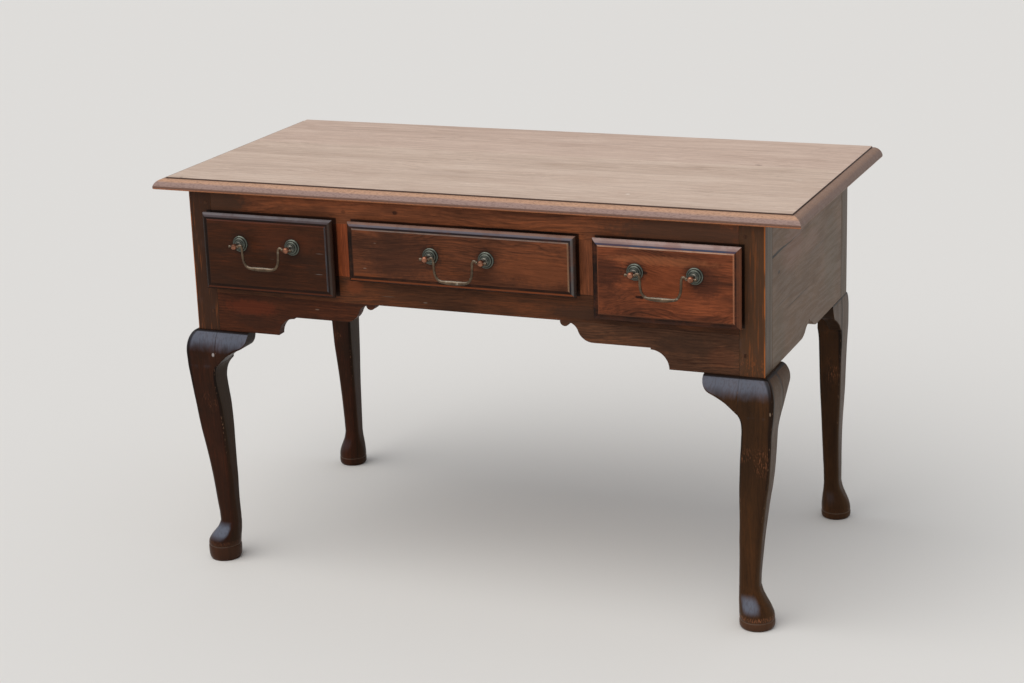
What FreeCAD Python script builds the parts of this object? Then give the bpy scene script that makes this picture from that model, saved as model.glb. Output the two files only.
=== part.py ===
import FreeCAD, Part
import math
import os

# Oak lowboy: a case with three lipped drawers on four cabriole legs with pad feet.
# Millimetres, +Z up. x runs across the front, y from front to back, z up from the floor.
# Everything is laid out with y = 0 on the front of the case and x = 0 on its middle,
# and each piece is moved at the end so that the origin lies under the middle of the whole.

# The whole
overall_height = 740.0
case_width = 1086.0
case_depth = 559.0
case_height = 264.0

# Top: two boards side by side, with a thumb moulding on the front and both ends
top_thickness = 20.0
top_end_overhang = 65.0
top_front_overhang = 17.5
top_back_overhang = 1.0
top_front_board = 359.5
top_mould_run = 19.5
top_mould_quirk = 2.4
top_mould_edge = 5.0
top_mould_under = 1.6

# Posts and boards of the case
post_size = 45.0
rail_thickness = 20.0
top_rail_height = 46.0
side_panel_thickness = 18.0
back_panel_thickness = 14.0
back_panel_rise = 12.0
divider_width = 49.0
middle_opening_width = 412.0
middle_opening_height = 97.0
side_opening_height = 131.0
long_rail_height = 49.0

# Shaped lower edge of the front, from the middle outwards
apron_half_span = 177.0
apron_lobe_width = 17.6
apron_lobe_drop = 10.0
apron_lobe_quirk = 2.5
apron_ogee_run = 41.4
apron_mid_flat = 105.5
apron_cove_radius = 33.0
apron_cove_step = 3.0

# Cusped nick in the lower edge of each side panel
nick_half_width = 50.0
nick_offset = 6.0
nick_height = 24.0

# Joints between the boards
tenon_length = 22.0
tenon_thickness = 8.0
tenon_shoulder = 3.0
stub_tenon_length = 8.0
peg_diameter = 7.0
peg_length = 26.0
peg_proud = 0.6
peg_sides = 8

# Front legs
front_knee_out = 20.0
front_knee_roll = 42.0
front_foot_radius = 31.4
front_foot_inset_x = 16.5
front_foot_inset_y = 9.0
front_pad_height = 15.5
arris_chords = 2
foot_roundness = 0.98
knee_foot_share = 0.862
knee_foot_out = 0.95
knee_foot_arris = 0.067

# Back legs
back_knee_out_x = 2.0
back_knee_out_y = 14.0
back_knee_roll = 30.0
back_foot_radius = 28.3
back_foot_inset_x = 16.5
back_foot_out_y = 1.5
back_pad_height = 14.0

# Knee ears glued beside the legs
ear_thickness = 22.0
front_ear_length = 61.5
side_ear_length = 54.0
back_ear_length = 60.0
ear_tip_height = 9.0

# Runners, kickers and glue blocks inside the case
runner_height = 20.0
runner_tread = 12.0
runner_back_width = 15.0
guide_height = 20.0
kicker_height = 20.0
kicker_tread = 18.0
glue_block_size = 20.0
glue_block_length = 60.0
glue_block_spacing = 350.0

# Drawers, which stand a little open
drawer_stand_out = 13.0
drawer_end_gap = 30.0
drawer_side_play = 1.0
drawer_top_play = 1.5
running_gap = 0.3
lip_overlap = 9.0
lip_overlap_below = 2.0
lip_thickness = 10.0
lip_mould_run = 11.5
lip_mould_rim = 3.5
lip_mould_quirk = 1.2
front_rebate = 12.0
drawer_side_thickness = 10.0
drawer_side_drop = 4.0
drawer_back_thickness = 10.0
drawer_back_drop = 3.0
drawer_bottom_thickness = 7.0
drawer_bottom_rise = 6.0
drawer_groove_depth = 5.0
dovetail_reach = 9.0
dovetail_flare = 2.2
side_drawer_tails = 3
middle_drawer_tails = 2

# Swan-neck handles
handle_spacing = 105.0
side_handle_rise = 22.0
middle_handle_rise = 7.0
rosette_radius = 15.0
rosette_height = 6.5
post_reach = 23.5
post_ball_radius = 5.6
ball_front_share = 0.88
post_neck_radius = 3.4
post_shank_radius = 2.6
shank_hole_gap = 0.1
shank_end = 7.0
post_collar = 1.2
nut_width = 11.0
nut_height = 4.0
bail_pin_radius = 1.8
bail_pin_gap = 0.08
bail_rod_radius = 2.4
bail_grip_radius = 4.1
bail_drop = 38.0
bail_bead_radius = 2.7
bail_hump_inset = 13.9
bail_hump_corner = 6.2
bail_hump_bend = 2.6
bail_arm_inset = 18.0
bail_arm_bend = 10.0
bail_grip_inset = 31.0
bail_bend_steps = 3
bail_sides = 6
turned_sides = 10

# Places worked out from the sizes above
V = FreeCAD.Vector
half_case = case_width / 2
case_top = overall_height - top_thickness
case_bottom = case_top - case_height
knee_foot = knee_foot_share * case_bottom
half_top = half_case + top_end_overhang
top_front = -top_front_overhang
top_back = case_depth + top_back_overhang
post_inner = half_case - post_size
back_post_front = case_depth - post_size
panel_inner = half_case - side_panel_thickness
back_panel_front = case_depth - back_panel_thickness
divider_inner = middle_opening_width / 2
divider_outer = divider_inner + divider_width
opening_top = case_top - top_rail_height
side_opening_bottom = opening_top - side_opening_height
middle_opening_bottom = opening_top - middle_opening_height
long_rail_bottom = middle_opening_bottom - long_rail_height
drawer_end = back_panel_front - drawer_end_gap
apron_mid_level = case_bottom + apron_cove_radius + apron_cove_step
drawer_face = -running_gap - lip_thickness
bail_axis_y = drawer_face - post_reach
front_reach = bail_axis_y - post_ball_radius * ball_front_share - drawer_stand_out
back_reach = max(case_depth + back_foot_out_y + back_foot_radius, top_back)
depth_middle = (front_reach + back_reach) / 2
mirror_x = V(1, 0, 0)
mirror_y = V(0, 1, 0)

# How a leg changes from knee to ankle: share of the leg's height, how far the outer face stands
# out from the case in x and y as shares of the knee's, the leg's width in x and y and the radius
# of its arrises as shares of the post's size.
front_leg_stations = (
    (0.846, 0.920, 0.960, 1.307, 1.290, 0.070),
    (0.825, 0.865, 0.950, 1.222, 1.156, 0.080),
    (0.785, 0.765, 0.920, 1.171, 1.055, 0.090),
    (0.735, 0.695, 0.810, 1.182, 1.031, 0.107),
    (0.680, 0.605, 0.690, 1.196, 1.016, 0.127),
    (0.625, 0.505, 0.605, 1.182, 0.989, 0.142),
    (0.570, 0.360, 0.535, 1.147, 0.949, 0.158),
    (0.515, 0.170, 0.465, 1.078, 0.902, 0.176),
    (0.461, 0.000, 0.380, 1.009, 0.871, 0.191),
    (0.406, -0.155, 0.315, 0.951, 0.840, 0.207),
    (0.351, -0.295, 0.275, 0.911, 0.813, 0.222),
    (0.296, -0.405, 0.245, 0.864, 0.791, 0.238),
    (0.241, -0.510, 0.215, 0.831, 0.771, 0.256),
    (0.197, -0.585, 0.165, 0.816, 0.760, 0.273),
    (0.165, -0.600, 0.160, 0.816, 0.770, 0.289),
)
back_leg_stations = (
    (0.846, 0.80, 0.960, 1.038, 1.200, 0.067),
    (0.825, 0.50, 0.970, 1.018, 1.130, 0.071),
    (0.789, 0.10, 0.979, 0.996, 1.087, 0.084),
    (0.724, -0.50, 1.000, 0.953, 1.087, 0.098),
    (0.658, -0.95, 1.021, 0.922, 1.087, 0.122),
    (0.592, -1.30, 1.050, 0.893, 1.073, 0.142),
    (0.526, -2.05, 1.071, 0.844, 1.029, 0.160),
    (0.461, -2.85, 1.064, 0.789, 0.980, 0.173),
    (0.395, -3.50, 1.064, 0.744, 0.940, 0.187),
    (0.329, -3.85, 1.121, 0.713, 0.904, 0.200),
    (0.263, -4.00, 1.193, 0.691, 0.878, 0.213),
    (0.219, -4.00, 1.257, 0.678, 0.860, 0.222),
    (0.160, -4.00, 1.290, 0.670, 0.840, 0.240),
)
# How the foot swells below the ankle: share of the way down from the ankle to the pad,
# share of the way from the ankle's centre to the foot's, share of the growth in radius.
foot_swell = (
    (0.22, 0.16, 0.16),
    (0.44, 0.44, 0.46),
    (0.64, 0.74, 0.76),
    (0.82, 0.93, 0.93),
    (1.00, 1.00, 0.92),
)


def box(x0, x1, y0, y1, z0, z1):
    return Part.makeBox(x1 - x0, y1 - y0, z1 - z0, V(x0, y0, z0))


def outline(points):
    return Part.makePolygon(points + points[:1])


def ring(centre, radius, axis, sides, stretch=1.0):
    """Points around a centre, square to the axis; stretch widens the ring away from y."""
    across = V(0, 1, 0) if abs(axis.y) < 0.5 else V(0, 0, 1)
    other = axis.cross(across).normalize() * stretch
    points = []
    for n in range(sides):
        turn = 2 * math.pi * (n + 0.5) / sides
        points.append(centre + (across * math.cos(turn) + other * math.sin(turn)) * radius)
    return points


def ringed(rings):
    """Solid whose skin runs straight from each ring of points to the next."""
    faces = [Part.Face(outline(rings[0])), Part.Face(outline(rings[-1]))]
    for near, far in zip(rings, rings[1:]):
        for n in range(len(near)):
            corners = [near[n - 1], near[n], far[n], far[n - 1]]
            faces.append(Part.Face(outline(corners)))
    solid = Part.Solid(Part.Shell(faces))
    if solid.Volume < 0:
        solid.reverse()
    return solid


def fuse(shapes):
    whole = shapes[0]
    for shape in shapes[1:]:
        whole = whole.fuse(shape)
    return whole.removeSplitter()


def cut(shape, tools):
    for tool in tools:
        shape = shape.cut(tool)
    return shape


def line(a, b):
    return Part.makeLine(a, b)


def arc(a, b, c):
    return Part.Arc(a, b, c).toShape()


def extrude(edges, direction):
    return Part.Face(Part.Wire(edges)).extrude(direction)


def thumb_edge(at, outer, inner, low, rim, shoulder, high):
    """Edges of a thumbnail moulding, from the foot of its rim to the flat that it frames."""
    middle_s = inner + (outer - inner) * math.cos(math.pi / 4)
    middle_h = rim + (shoulder - rim) * math.sin(math.pi / 4)
    return [
        line(at(outer, low), at(outer, rim)),
        arc(at(outer, rim), at(middle_s, middle_h), at(inner, shoulder)),
        line(at(inner, shoulder), at(inner, high)),
    ]


# ---- top


def top_board_pair():
    """The whole top as two crossed mouldings, which gives mitred corners, sawn into two boards."""
    low = case_top
    rim = case_top + top_mould_edge
    shoulder = overall_height - top_mould_quirk
    high = overall_height
    under = top_mould_under
    start_y = top_front

    def at_front(s, h):
        return V(-half_top, s, h)

    def at_end(s, h):
        return V(s, top_front, h)

    front = [line(at_front(start_y + under, low), at_front(start_y, low + under))]
    front += thumb_edge(
        at_front, start_y, start_y + top_mould_run, low + under, rim, shoulder, high
    )
    front += [
        line(at_front(start_y + top_mould_run, high), at_front(top_back, high)),
        line(at_front(top_back, high), at_front(top_back, low)),
        line(at_front(top_back, low), at_front(start_y + under, low)),
    ]
    ends = []
    flat = half_top - top_mould_run
    for side in (1, -1):
        ends.append(line(at_end(side * (half_top - under), low), at_end(side * half_top, low + under)))
        ends += thumb_edge(
            at_end, side * half_top, side * flat, low + under, rim, shoulder, high
        )
    ends.append(line(at_end(-flat, high), at_end(flat, high)))
    ends.append(line(at_end(under - half_top, low), at_end(half_top - under, low)))
    slab = extrude(Part.__sortEdges__(front), V(2 * half_top, 0, 0))
    cross = extrude(Part.__sortEdges__(ends), V(0, top_back - top_front, 0))
    whole = slab.common(cross)
    seam = top_front + top_front_board
    front_part = box(-half_top, half_top, top_front, seam, case_top, overall_height)
    front_board = whole.common(front_part)
    return front_board, whole.cut(front_part)


# ---- legs


def rounded_section(x0, x1, y0, y1, r, z):
    """Points round a rectangle at height z, with each corner rounded in short chords."""
    points = []
    corners = ((x1 - r, y0 + r, -90), (x1 - r, y1 - r, 0), (x0 + r, y1 - r, 90), (x0 + r, y0 + r, 180))
    for x, y, start in corners:
        for n in range(arris_chords + 1):
            turn = math.radians(start + 90 * n / arris_chords)
            points.append(V(x + r * math.cos(turn), y + r * math.sin(turn), z))
    return points


def knee_profile(at, out, roll, inner):
    """Side view of a knee: it rolls out from the case's lower edge, then runs down to the leg."""
    widest = case_bottom - roll
    foot_out = knee_foot_out * out
    steps = [math.pi * n / 8 for n in range(5)]
    curve = [at(out * math.sin(step), widest + roll * math.cos(step)) for step in steps]
    return [
        arc(*curve[:3]),
        arc(*curve[2:]),
        line(at(out, widest), at(foot_out, knee_foot)),
        line(at(foot_out, knee_foot), at(-inner, knee_foot)),
        line(at(-inner, knee_foot), at(-inner, case_bottom)),
        line(at(-inner, case_bottom), at(0, case_bottom)),
    ]


def pad_under(radius, height, x, y):
    """Round pad under a foot, with an eased lower edge and a scribed line at its top."""
    groove = radius * 0.04
    rings = (
        (radius * 0.88, 0),
        (radius * 0.98, height * 0.24),
        (radius, height * 0.55),
        (radius - groove, height - groove),
        (radius - 2 * groove, height),
    )
    return ringed([
        rounded_section(x - r, x + r, y - r, y + r, foot_roundness * r, z) for r, z in rings
    ])


def leg(stations, knee_x, knee_y, roll, foot_radius, foot_x, foot_y, pad_height):
    """Right-hand leg at the front corner: post, knee, shaped leg, foot and pad in one piece.

    foot_x and foot_y say how far the foot's centre lies inside the case's faces.
    """
    post = box(post_inner, half_case, 0, post_size, case_bottom, case_top)
    reach = post_size + 2 * max(knee_x, knee_y)
    across = knee_profile(lambda s, h: V(half_case + s, -reach, h), knee_x, roll, post_size)
    along = knee_profile(lambda s, h: V(post_inner, -s, h), knee_y, roll, post_size)
    knee = extrude(across, V(0, reach + post_size, 0)).common(extrude(along, V(reach, 0, 0)))
    sections = [rounded_section(
        post_inner, half_case + knee_foot_out * knee_x, -knee_foot_out * knee_y, post_size,
        knee_foot_arris * post_size, knee_foot,
    )]
    for share, out_x, out_y, wide_x, wide_y, arris in stations:
        x1 = half_case + out_x * knee_x
        x0 = x1 - wide_x * post_size
        y0 = -out_y * knee_y
        y1 = y0 + wide_y * post_size
        sections.append(rounded_section(x0, x1, y0, y1, arris * post_size, share * case_bottom))
    ankle_z = share * case_bottom
    ankle_x = (x0 + x1) / 2
    ankle_y = (y0 + y1) / 2
    centre_x = half_case - foot_x
    for down, over, grow in foot_swell:
        x = ankle_x + over * (centre_x - ankle_x)
        y = ankle_y + over * (foot_y - ankle_y)
        half_x = (x1 - x0) / 2 * (1 - grow) + foot_radius * grow
        half_y = (y1 - y0) / 2 * (1 - grow) + foot_radius * grow
        round_share = foot_roundness * (0.7 + 0.3 * over)
        z = ankle_z + down * (pad_height - ankle_z)
        sections.append(rounded_section(
            x - half_x, x + half_x, y - half_y, y + half_y, round_share * min(half_x, half_y), z
        ))
    shaft = Part.makeLoft([outline(section) for section in sections], True, True)
    pad = pad_under(foot_radius, pad_height, centre_x, foot_y)
    return fuse([post, knee, shaft, pad])


# ---- knee ears


def ear(length, out, roll):
    """Ear that carries the front knee of a right-hand leg towards the middle, under the case.

    It is the knee's own side view run along the case, sawn to an S-shaped outline.
    """
    drop = case_bottom - knee_foot
    tip = post_inner - length
    side = knee_profile(lambda s, h: V(tip, -s, h), out, roll, ear_thickness)
    solid = extrude(side, V(length, 0, 0))

    def at(share, fall):
        return V(tip + share * length, -2 * out - 1, case_bottom - fall * drop)

    tip_fall = ear_tip_height / drop
    sawn = [
        line(at(0, 0), at(0, tip_fall)),
        arc(at(0, tip_fall), at(0.09, 0.36), at(0.30, 0.50)),
        arc(at(0.30, 0.50), at(0.70, 0.72), at(1, 1)),
        line(at(1, 1), at(1, 0)),
        line(at(1, 0), at(0, 0)),
    ]
    return solid.common(extrude(sawn, V(0, ear_thickness + 2 * out + 2, 0)))


def turned_to_side(shape):
    """Turns a piece from the front of the right-hand corner to the side of the same corner."""
    corner = V(half_case, 0, 0)
    return shape.mirror(corner, V(1, 1, 0).normalize())


def to_back(shape):
    """The same piece at the back corner of the case."""
    return shape.mirror(V(0, case_depth / 2, 0), mirror_y)


def to_left(shape):
    return shape.mirror(V(0, 0, 0), mirror_x)


# ---- tenons and pegs


def rail_tenon(z0, z1):
    """Tenon of a front rail in the right-hand post."""
    y0 = (rail_thickness - tenon_thickness) / 2
    return box(
        post_inner, post_inner + tenon_length, y0, y0 + tenon_thickness,
        z0 + tenon_shoulder, z1 - tenon_shoulder,
    )


def side_tongue(y0, y1):
    """Tongue of the right side panel, with y0 and y1 as its ends."""
    x0 = panel_inner + (side_panel_thickness - tenon_thickness) / 2
    return box(
        x0, x0 + tenon_thickness, y0, y1, case_bottom + tenon_shoulder, case_top - tenon_shoulder
    )


def back_tongue():
    """Tongue of the back panel in the right-hand back post."""
    y0 = back_panel_front + (back_panel_thickness - tenon_thickness) / 2
    return box(
        post_inner, post_inner + tenon_length, y0, y0 + tenon_thickness,
        case_bottom + back_panel_rise + tenon_shoulder, case_top - tenon_shoulder,
    )


def peg_heights():
    return ((opening_top + case_top) / 2, (case_bottom + long_rail_bottom) / 2)


def peg(z):
    """Eight-sided peg through the right-hand front post and the tenon in it."""
    place = V(post_inner + tenon_length / 2, 0, z)
    sides = ((peg_diameter / 2, -peg_proud), (peg_diameter / 2, peg_length))
    return ringed([ring(place + V(0, y, 0), r, V(0, 1, 0), peg_sides) for r, y in sides])


def front_pegs():
    return [peg(z) for z in peg_heights()]


def both_sides(shapes):
    return shapes + [to_left(s) for s in shapes]


# ---- boards of the case


def top_rail():
    tenon = rail_tenon(opening_top, case_top)
    rail = box(-post_inner, post_inner, 0, rail_thickness, opening_top, case_top)
    rail = fuse([rail, tenon, to_left(tenon)])
    return cut(rail, both_sides(front_pegs()) + both_sides([divider_stub(opening_top, 1)]))


def divider_stub(z, up):
    """Stub tenon at the top (up = 1) or the foot (up = -1) of the right-hand divider."""
    y0 = (rail_thickness - tenon_thickness) / 2
    z0 = z if up > 0 else z - stub_tenon_length
    return box(
        divider_inner + tenon_shoulder, divider_outer - tenon_shoulder,
        y0, y0 + tenon_thickness, z0, z0 + stub_tenon_length,
    )


def divider():
    body = box(divider_inner, divider_outer, 0, rail_thickness, middle_opening_bottom, opening_top)
    return fuse([body, divider_stub(opening_top, 1), divider_stub(middle_opening_bottom, -1)])


def long_rail():
    """Rail under the drawers, left wide under the middle one and the dividers."""
    tenon = rail_tenon(long_rail_bottom, side_opening_bottom)
    low = box(-post_inner, post_inner, 0, rail_thickness, long_rail_bottom, side_opening_bottom)
    high = box(
        -divider_outer, divider_outer, 0, rail_thickness, long_rail_bottom, middle_opening_bottom
    )
    rail = fuse([low, high, tenon, to_left(tenon)])
    return cut(rail, both_sides([divider_stub(middle_opening_bottom, -1)]))


def apron():
    """Right-hand shaped piece under the long rail: lobe, ogee, flat, step and cove."""
    lobe_end = apron_half_span + apron_lobe_width
    lobe_z = long_rail_bottom - apron_lobe_quirk
    flat_start = lobe_end + apron_ogee_run
    cove_x = flat_start + apron_mid_flat
    cove_end = cove_x + apron_cove_radius
    ogee_drop = lobe_z - apron_mid_level
    turn = V(lobe_end + apron_ogee_run * 0.38, 0, lobe_z - ogee_drop * 0.47)
    slant = apron_cove_radius * math.sqrt(0.5)

    def at(x, z):
        return V(x, 0, z)

    edges = [
        line(at(apron_half_span, long_rail_bottom), at(apron_half_span, lobe_z)),
        arc(
            at(apron_half_span, lobe_z),
            at((apron_half_span + lobe_end) / 2, long_rail_bottom - apron_lobe_drop),
            at(lobe_end, lobe_z),
        ),
        arc(
            at(lobe_end, lobe_z),
            at(lobe_end + apron_ogee_run * 0.23, lobe_z - ogee_drop * 0.16),
            turn,
        ),
        arc(
            turn,
            at(lobe_end + apron_ogee_run * 0.60, lobe_z - ogee_drop * 0.82),
            at(flat_start, apron_mid_level),
        ),
        line(at(flat_start, apron_mid_level), at(cove_x, apron_mid_level)),
        line(at(cove_x, apron_mid_level), at(cove_x, case_bottom + apron_cove_radius)),
        arc(
            at(cove_x, case_bottom + apron_cove_radius),
            at(cove_x + slant, case_bottom + slant),
            at(cove_end, case_bottom),
        ),
        line(at(cove_end, case_bottom), at(post_inner, case_bottom)),
        line(at(post_inner, case_bottom), at(post_inner, long_rail_bottom)),
        line(at(post_inner, long_rail_bottom), at(apron_half_span, long_rail_bottom)),
    ]
    board = extrude(edges, V(0, rail_thickness, 0))
    board = fuse([board, rail_tenon(case_bottom, long_rail_bottom)])
    return cut(board, front_pegs())


def side_panel():
    """Right-hand side panel, with a cusped nick in its lower edge."""
    middle = case_depth / 2 + nick_offset

    def at(share, rise):
        return V(panel_inner, middle + share * nick_half_width, case_bottom + rise * nick_height)

    nick = [line(at(1, 0), at(-1, 0))]
    for side in (-1, 1):
        nick += [
            arc(at(side, 0), at(side * 0.68, 0.165), at(side * 0.44, 0.48)),
            arc(at(side * 0.44, 0.48), at(side * 0.34, 0.60), at(side * 0.22, 0.675)),
            arc(at(side * 0.22, 0.675), at(side * 0.09, 0.775), at(0, 1)),
        ]
    board = box(panel_inner, half_case, post_size, back_post_front, case_bottom, case_top)
    board = board.cut(extrude(Part.__sortEdges__(nick), V(side_panel_thickness, 0, 0)))
    return fuse([
        board,
        side_tongue(post_size - tenon_length, post_size),
        side_tongue(back_post_front, back_post_front + tenon_length),
    ])


def back_panel():
    board = box(
        -post_inner, post_inner, back_panel_front, case_depth,
        case_bottom + back_panel_rise, case_top,
    )
    return fuse([board, back_tongue(), to_left(back_tongue())])


def front_leg():
    mortises = [
        rail_tenon(opening_top, case_top),
        rail_tenon(long_rail_bottom, side_opening_bottom),
        rail_tenon(case_bottom, long_rail_bottom),
        side_tongue(post_size - tenon_length, post_size),
    ]
    whole = leg(
        front_leg_stations, front_knee_out, front_knee_out, front_knee_roll,
        front_foot_radius, front_foot_inset_x, front_foot_inset_y, front_pad_height,
    )
    return cut(whole, mortises + front_pegs())


def back_leg():
    whole = leg(
        back_leg_stations, back_knee_out_x, back_knee_out_y, back_knee_roll,
        back_foot_radius, back_foot_inset_x, -back_foot_out_y, back_pad_height,
    )
    mortises = [back_tongue(), side_tongue(back_post_front, back_post_front + tenon_length)]
    return cut(to_back(whole), mortises)


# ---- inside the case


def runner(x_drawer, x_back, opening_bottom, ledge_outer):
    """Runner with a guide on its outer edge, from the front rail to the back panel.

    x_drawer is the edge of the drawer opening, x_back the far side of the guide, and
    ledge_outer the guide's own limits in y, which clear the posts where it reaches them.
    """
    inward = -1 if x_back > x_drawer else 1
    tread_edge = x_drawer + inward * runner_tread
    tread = box(
        min(tread_edge, x_drawer), max(tread_edge, x_drawer),
        rail_thickness, back_panel_front, opening_bottom - runner_height, opening_bottom,
    )
    guide = box(
        min(x_drawer, x_back), max(x_drawer, x_back),
        ledge_outer[0], ledge_outer[1],
        opening_bottom - runner_height, opening_bottom + guide_height,
    )
    return fuse([tread, guide])


def outer_runner():
    return runner(post_inner, panel_inner, side_opening_bottom, (post_size, back_post_front))


def inner_runner():
    return runner(
        divider_outer, divider_outer - runner_back_width, side_opening_bottom,
        (rail_thickness, back_panel_front),
    )


def middle_runner():
    return runner(
        divider_inner, divider_inner + runner_back_width, middle_opening_bottom,
        (rail_thickness, back_panel_front),
    )


def outer_kicker():
    """Bearer over the outer side of a side drawer, which keeps it from tipping when pulled out."""
    z1 = opening_top + kicker_height
    tread = box(
        post_inner - kicker_tread, post_inner, rail_thickness, back_panel_front, opening_top, z1
    )
    fixed = box(post_inner, panel_inner, post_size, back_post_front, opening_top, z1)
    return fuse([tread, fixed])


def inner_kicker():
    """Bearer behind a divider, over the middle drawer and a side drawer together."""
    return box(
        divider_inner - kicker_tread, divider_outer + kicker_tread,
        rail_thickness, back_panel_front, opening_top, opening_top + kicker_height,
    )


def glue_blocks():
    """Blocks rubbed into the corners under the top, at the front rail and the back panel."""
    blocks = []
    for n in (-1, 0, 1):
        for y0 in (rail_thickness, back_panel_front - glue_block_size):
            x0 = n * glue_block_spacing - glue_block_length / 2
            blocks.append(box(
                x0, x0 + glue_block_length, y0, y0 + glue_block_size,
                case_top - glue_block_size, case_top,
            ))
    return Part.makeCompound(blocks)


# ---- drawers


def moulded_front(x0, x1, z0, z1):
    """Lipped plate of a drawer front: two crossed thumbnail mouldings, mitred at the corners."""
    low = -running_gap
    rim = low - lip_mould_rim
    shoulder = drawer_face + lip_mould_quirk

    def at_x(s, h):
        return V(s, h, z0)

    def at_z(s, h):
        return V(x0, h, s)

    def ring(at, a, b):
        edges = thumb_edge(at, b, b - lip_mould_run, low, rim, shoulder, drawer_face)
        edges += thumb_edge(at, a, a + lip_mould_run, low, rim, shoulder, drawer_face)
        edges.append(line(at(a + lip_mould_run, drawer_face), at(b - lip_mould_run, drawer_face)))
        edges.append(line(at(a, low), at(b, low)))
        return Part.__sortEdges__(edges)

    upright = extrude(ring(at_x, x0, x1), V(0, 0, z1 - z0))
    level = extrude(ring(at_z, z0, z1), V(x1 - x0, 0, 0))
    return upright.common(level)


def tails(x0, x1, y_base, y_end, z0, z1, count):
    """Dovetails on the end of a drawer side, narrow at y_base and flared at y_end."""
    pitch = (z1 - z0) / count
    half = pitch * 0.33
    solids = []
    for n in range(count):
        z = z0 + (n + 0.5) * pitch
        base_half = half - dovetail_flare
        corners = [
            V(x0, y_base, z - base_half),
            V(x0, y_end, z - half),
            V(x0, y_end, z + half),
            V(x0, y_base, z + base_half),
        ]
        solids.append(extrude(outline(corners).Edges, V(x1 - x0, 0, 0)))
    return solids


def drawer(x0, x1, z0, handle_rise, tail_count):
    """Pieces of the closed drawer in the opening from x0 to x1, z0 to the top rail."""
    box_x0 = x0 + drawer_side_play
    box_x1 = x1 - drawer_side_play
    low = z0 + running_gap
    front_top = opening_top - drawer_top_play
    side_top = front_top - drawer_side_drop
    back_front = drawer_end - drawer_back_thickness
    bottom_low = low + drawer_bottom_rise
    bottom_top = bottom_low + drawer_bottom_thickness
    left_in = box_x0 + drawer_side_thickness
    right_in = box_x1 - drawer_side_thickness
    tail_end = front_rebate - dovetail_reach

    plate = moulded_front(
        x0 - lip_overlap, x1 + lip_overlap, z0 - lip_overlap_below, opening_top + lip_overlap
    )
    tongue = box(box_x0, box_x1, -running_gap, front_rebate, low, front_top)
    front = fuse([plate, tongue])

    bottom = box(
        left_in - drawer_groove_depth, right_in + drawer_groove_depth,
        front_rebate - drawer_groove_depth, drawer_end, bottom_low, bottom_top,
    )
    back = box(
        box_x0, box_x1, back_front, drawer_end, bottom_top, side_top - drawer_back_drop
    )
    sides = []
    for a, b in ((box_x0, left_in), (right_in, box_x1)):
        front_tails = tails(a, b, front_rebate, tail_end, bottom_top, side_top, tail_count)
        back_tails = tails(
            a, b, back_front, drawer_end, bottom_top, side_top - drawer_back_drop, tail_count
        )
        under_back = box(a, b, back_front, drawer_end, low, bottom_top)
        side = box(a, b, front_rebate, back_front, low, side_top)
        side = fuse([side, under_back] + front_tails + back_tails)
        sides.append(side.cut(bottom))
        front = cut(front, front_tails)
        back = cut(back, back_tails)
    front = front.cut(bottom)

    middle = (x0 + x1) / 2
    z_handle = (z0 + opening_top) / 2 + handle_rise
    places = [V(middle + side * handle_spacing / 2, 0, z_handle) for side in (-1, 1)]
    for place in places:
        front = front.cut(shank_hole(place))
    return {
        "front": front,
        "side_left": sides[0],
        "side_right": sides[1],
        "back": back,
        "bottom": bottom,
        "rosettes": Part.makeCompound([rosette(p) for p in places]),
        "handle_posts": Part.makeCompound([handle_post(p) for p in places]),
        "bail": bail(V(middle, bail_axis_y, z_handle)),
    }


# ---- handles


def turned(profile, place, sides=turned_sides):
    """Turned piece along y, from (radius, distance in front of the drawer face) pairs."""
    rings = []
    for r, h in profile:
        rings.append(ring(V(place.x, drawer_face - h, place.z), r, V(0, -1, 0), sides))
    return ringed(rings)


def shank_hole(place):
    length = lip_thickness + front_rebate + running_gap
    r = post_shank_radius + shank_hole_gap
    return turned(((r, -length), (r, rosette_height)), place)


def rosette(place):
    """Round plate with two steps up to a raised middle, under the handle's post."""
    r = rosette_radius
    h = rosette_height
    plate = turned(
        (
            (r, 0), (r, h * 0.25), (r * 0.82, h * 0.46),
            (r * 0.76, h * 0.70), (r * 0.52, h),
        ),
        place,
    )
    return plate.cut(shank_hole(place))


def handle_post(place):
    """Turned post: shank with a square nut, collar on the rosette, neck, and a bored ball."""
    inside = -front_rebate - lip_thickness - running_gap
    h = rosette_height
    shank = turned(((post_shank_radius, inside - shank_end), (post_shank_radius, h)), place)
    ball = post_reach
    r = post_ball_radius
    head = turned(
        (
            (post_neck_radius * 1.7, h),
            (post_neck_radius * 1.7, h + post_collar),
            (post_neck_radius, h + 3 * post_collar),
            (post_neck_radius, ball - r * 0.85),
            (r, ball - r * 0.35),
            (r, ball + r * 0.35),
            (r * 0.55, ball + r * ball_front_share),
        ),
        place,
    )
    half = nut_width / 2
    nut = box(
        place.x - half, place.x + half, front_rebate, front_rebate + nut_height,
        place.z - half, place.z + half,
    )
    hole_radius = (bail_pin_radius + bail_pin_gap) / math.cos(math.pi / turned_sides)
    ends = [V(place.x + side * 2 * r, bail_axis_y, place.z) for side in (-1, 1)]
    hole = ringed([ring(end, hole_radius, V(1, 0, 0), turned_sides) for end in ends])
    return fuse([shank, head, nut]).cut(hole)


def bent(points, bends, steps):
    """Points along a path in an x-z plane, with each inner corner turned in equal steps."""
    path = [points[0]]
    for n, bend in enumerate(bends):
        corner = points[n + 1]
        before = (corner - points[n]).normalize()
        after = (points[n + 2] - corner).normalize()
        turn = before.getAngle(after)
        normal = before.cross(after).normalize()
        start = corner - before * bend * math.tan(turn / 2)
        centre = start + normal.cross(before) * bend
        outward = bend / math.cos(turn / steps / 2)
        for step in range(steps):
            angle = (step + 0.5) * turn / steps
            spoke = normal.cross(before) * -math.cos(angle) + before * math.sin(angle)
            path.append(centre + spoke * outward)
    return path + [points[-1]]


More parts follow.
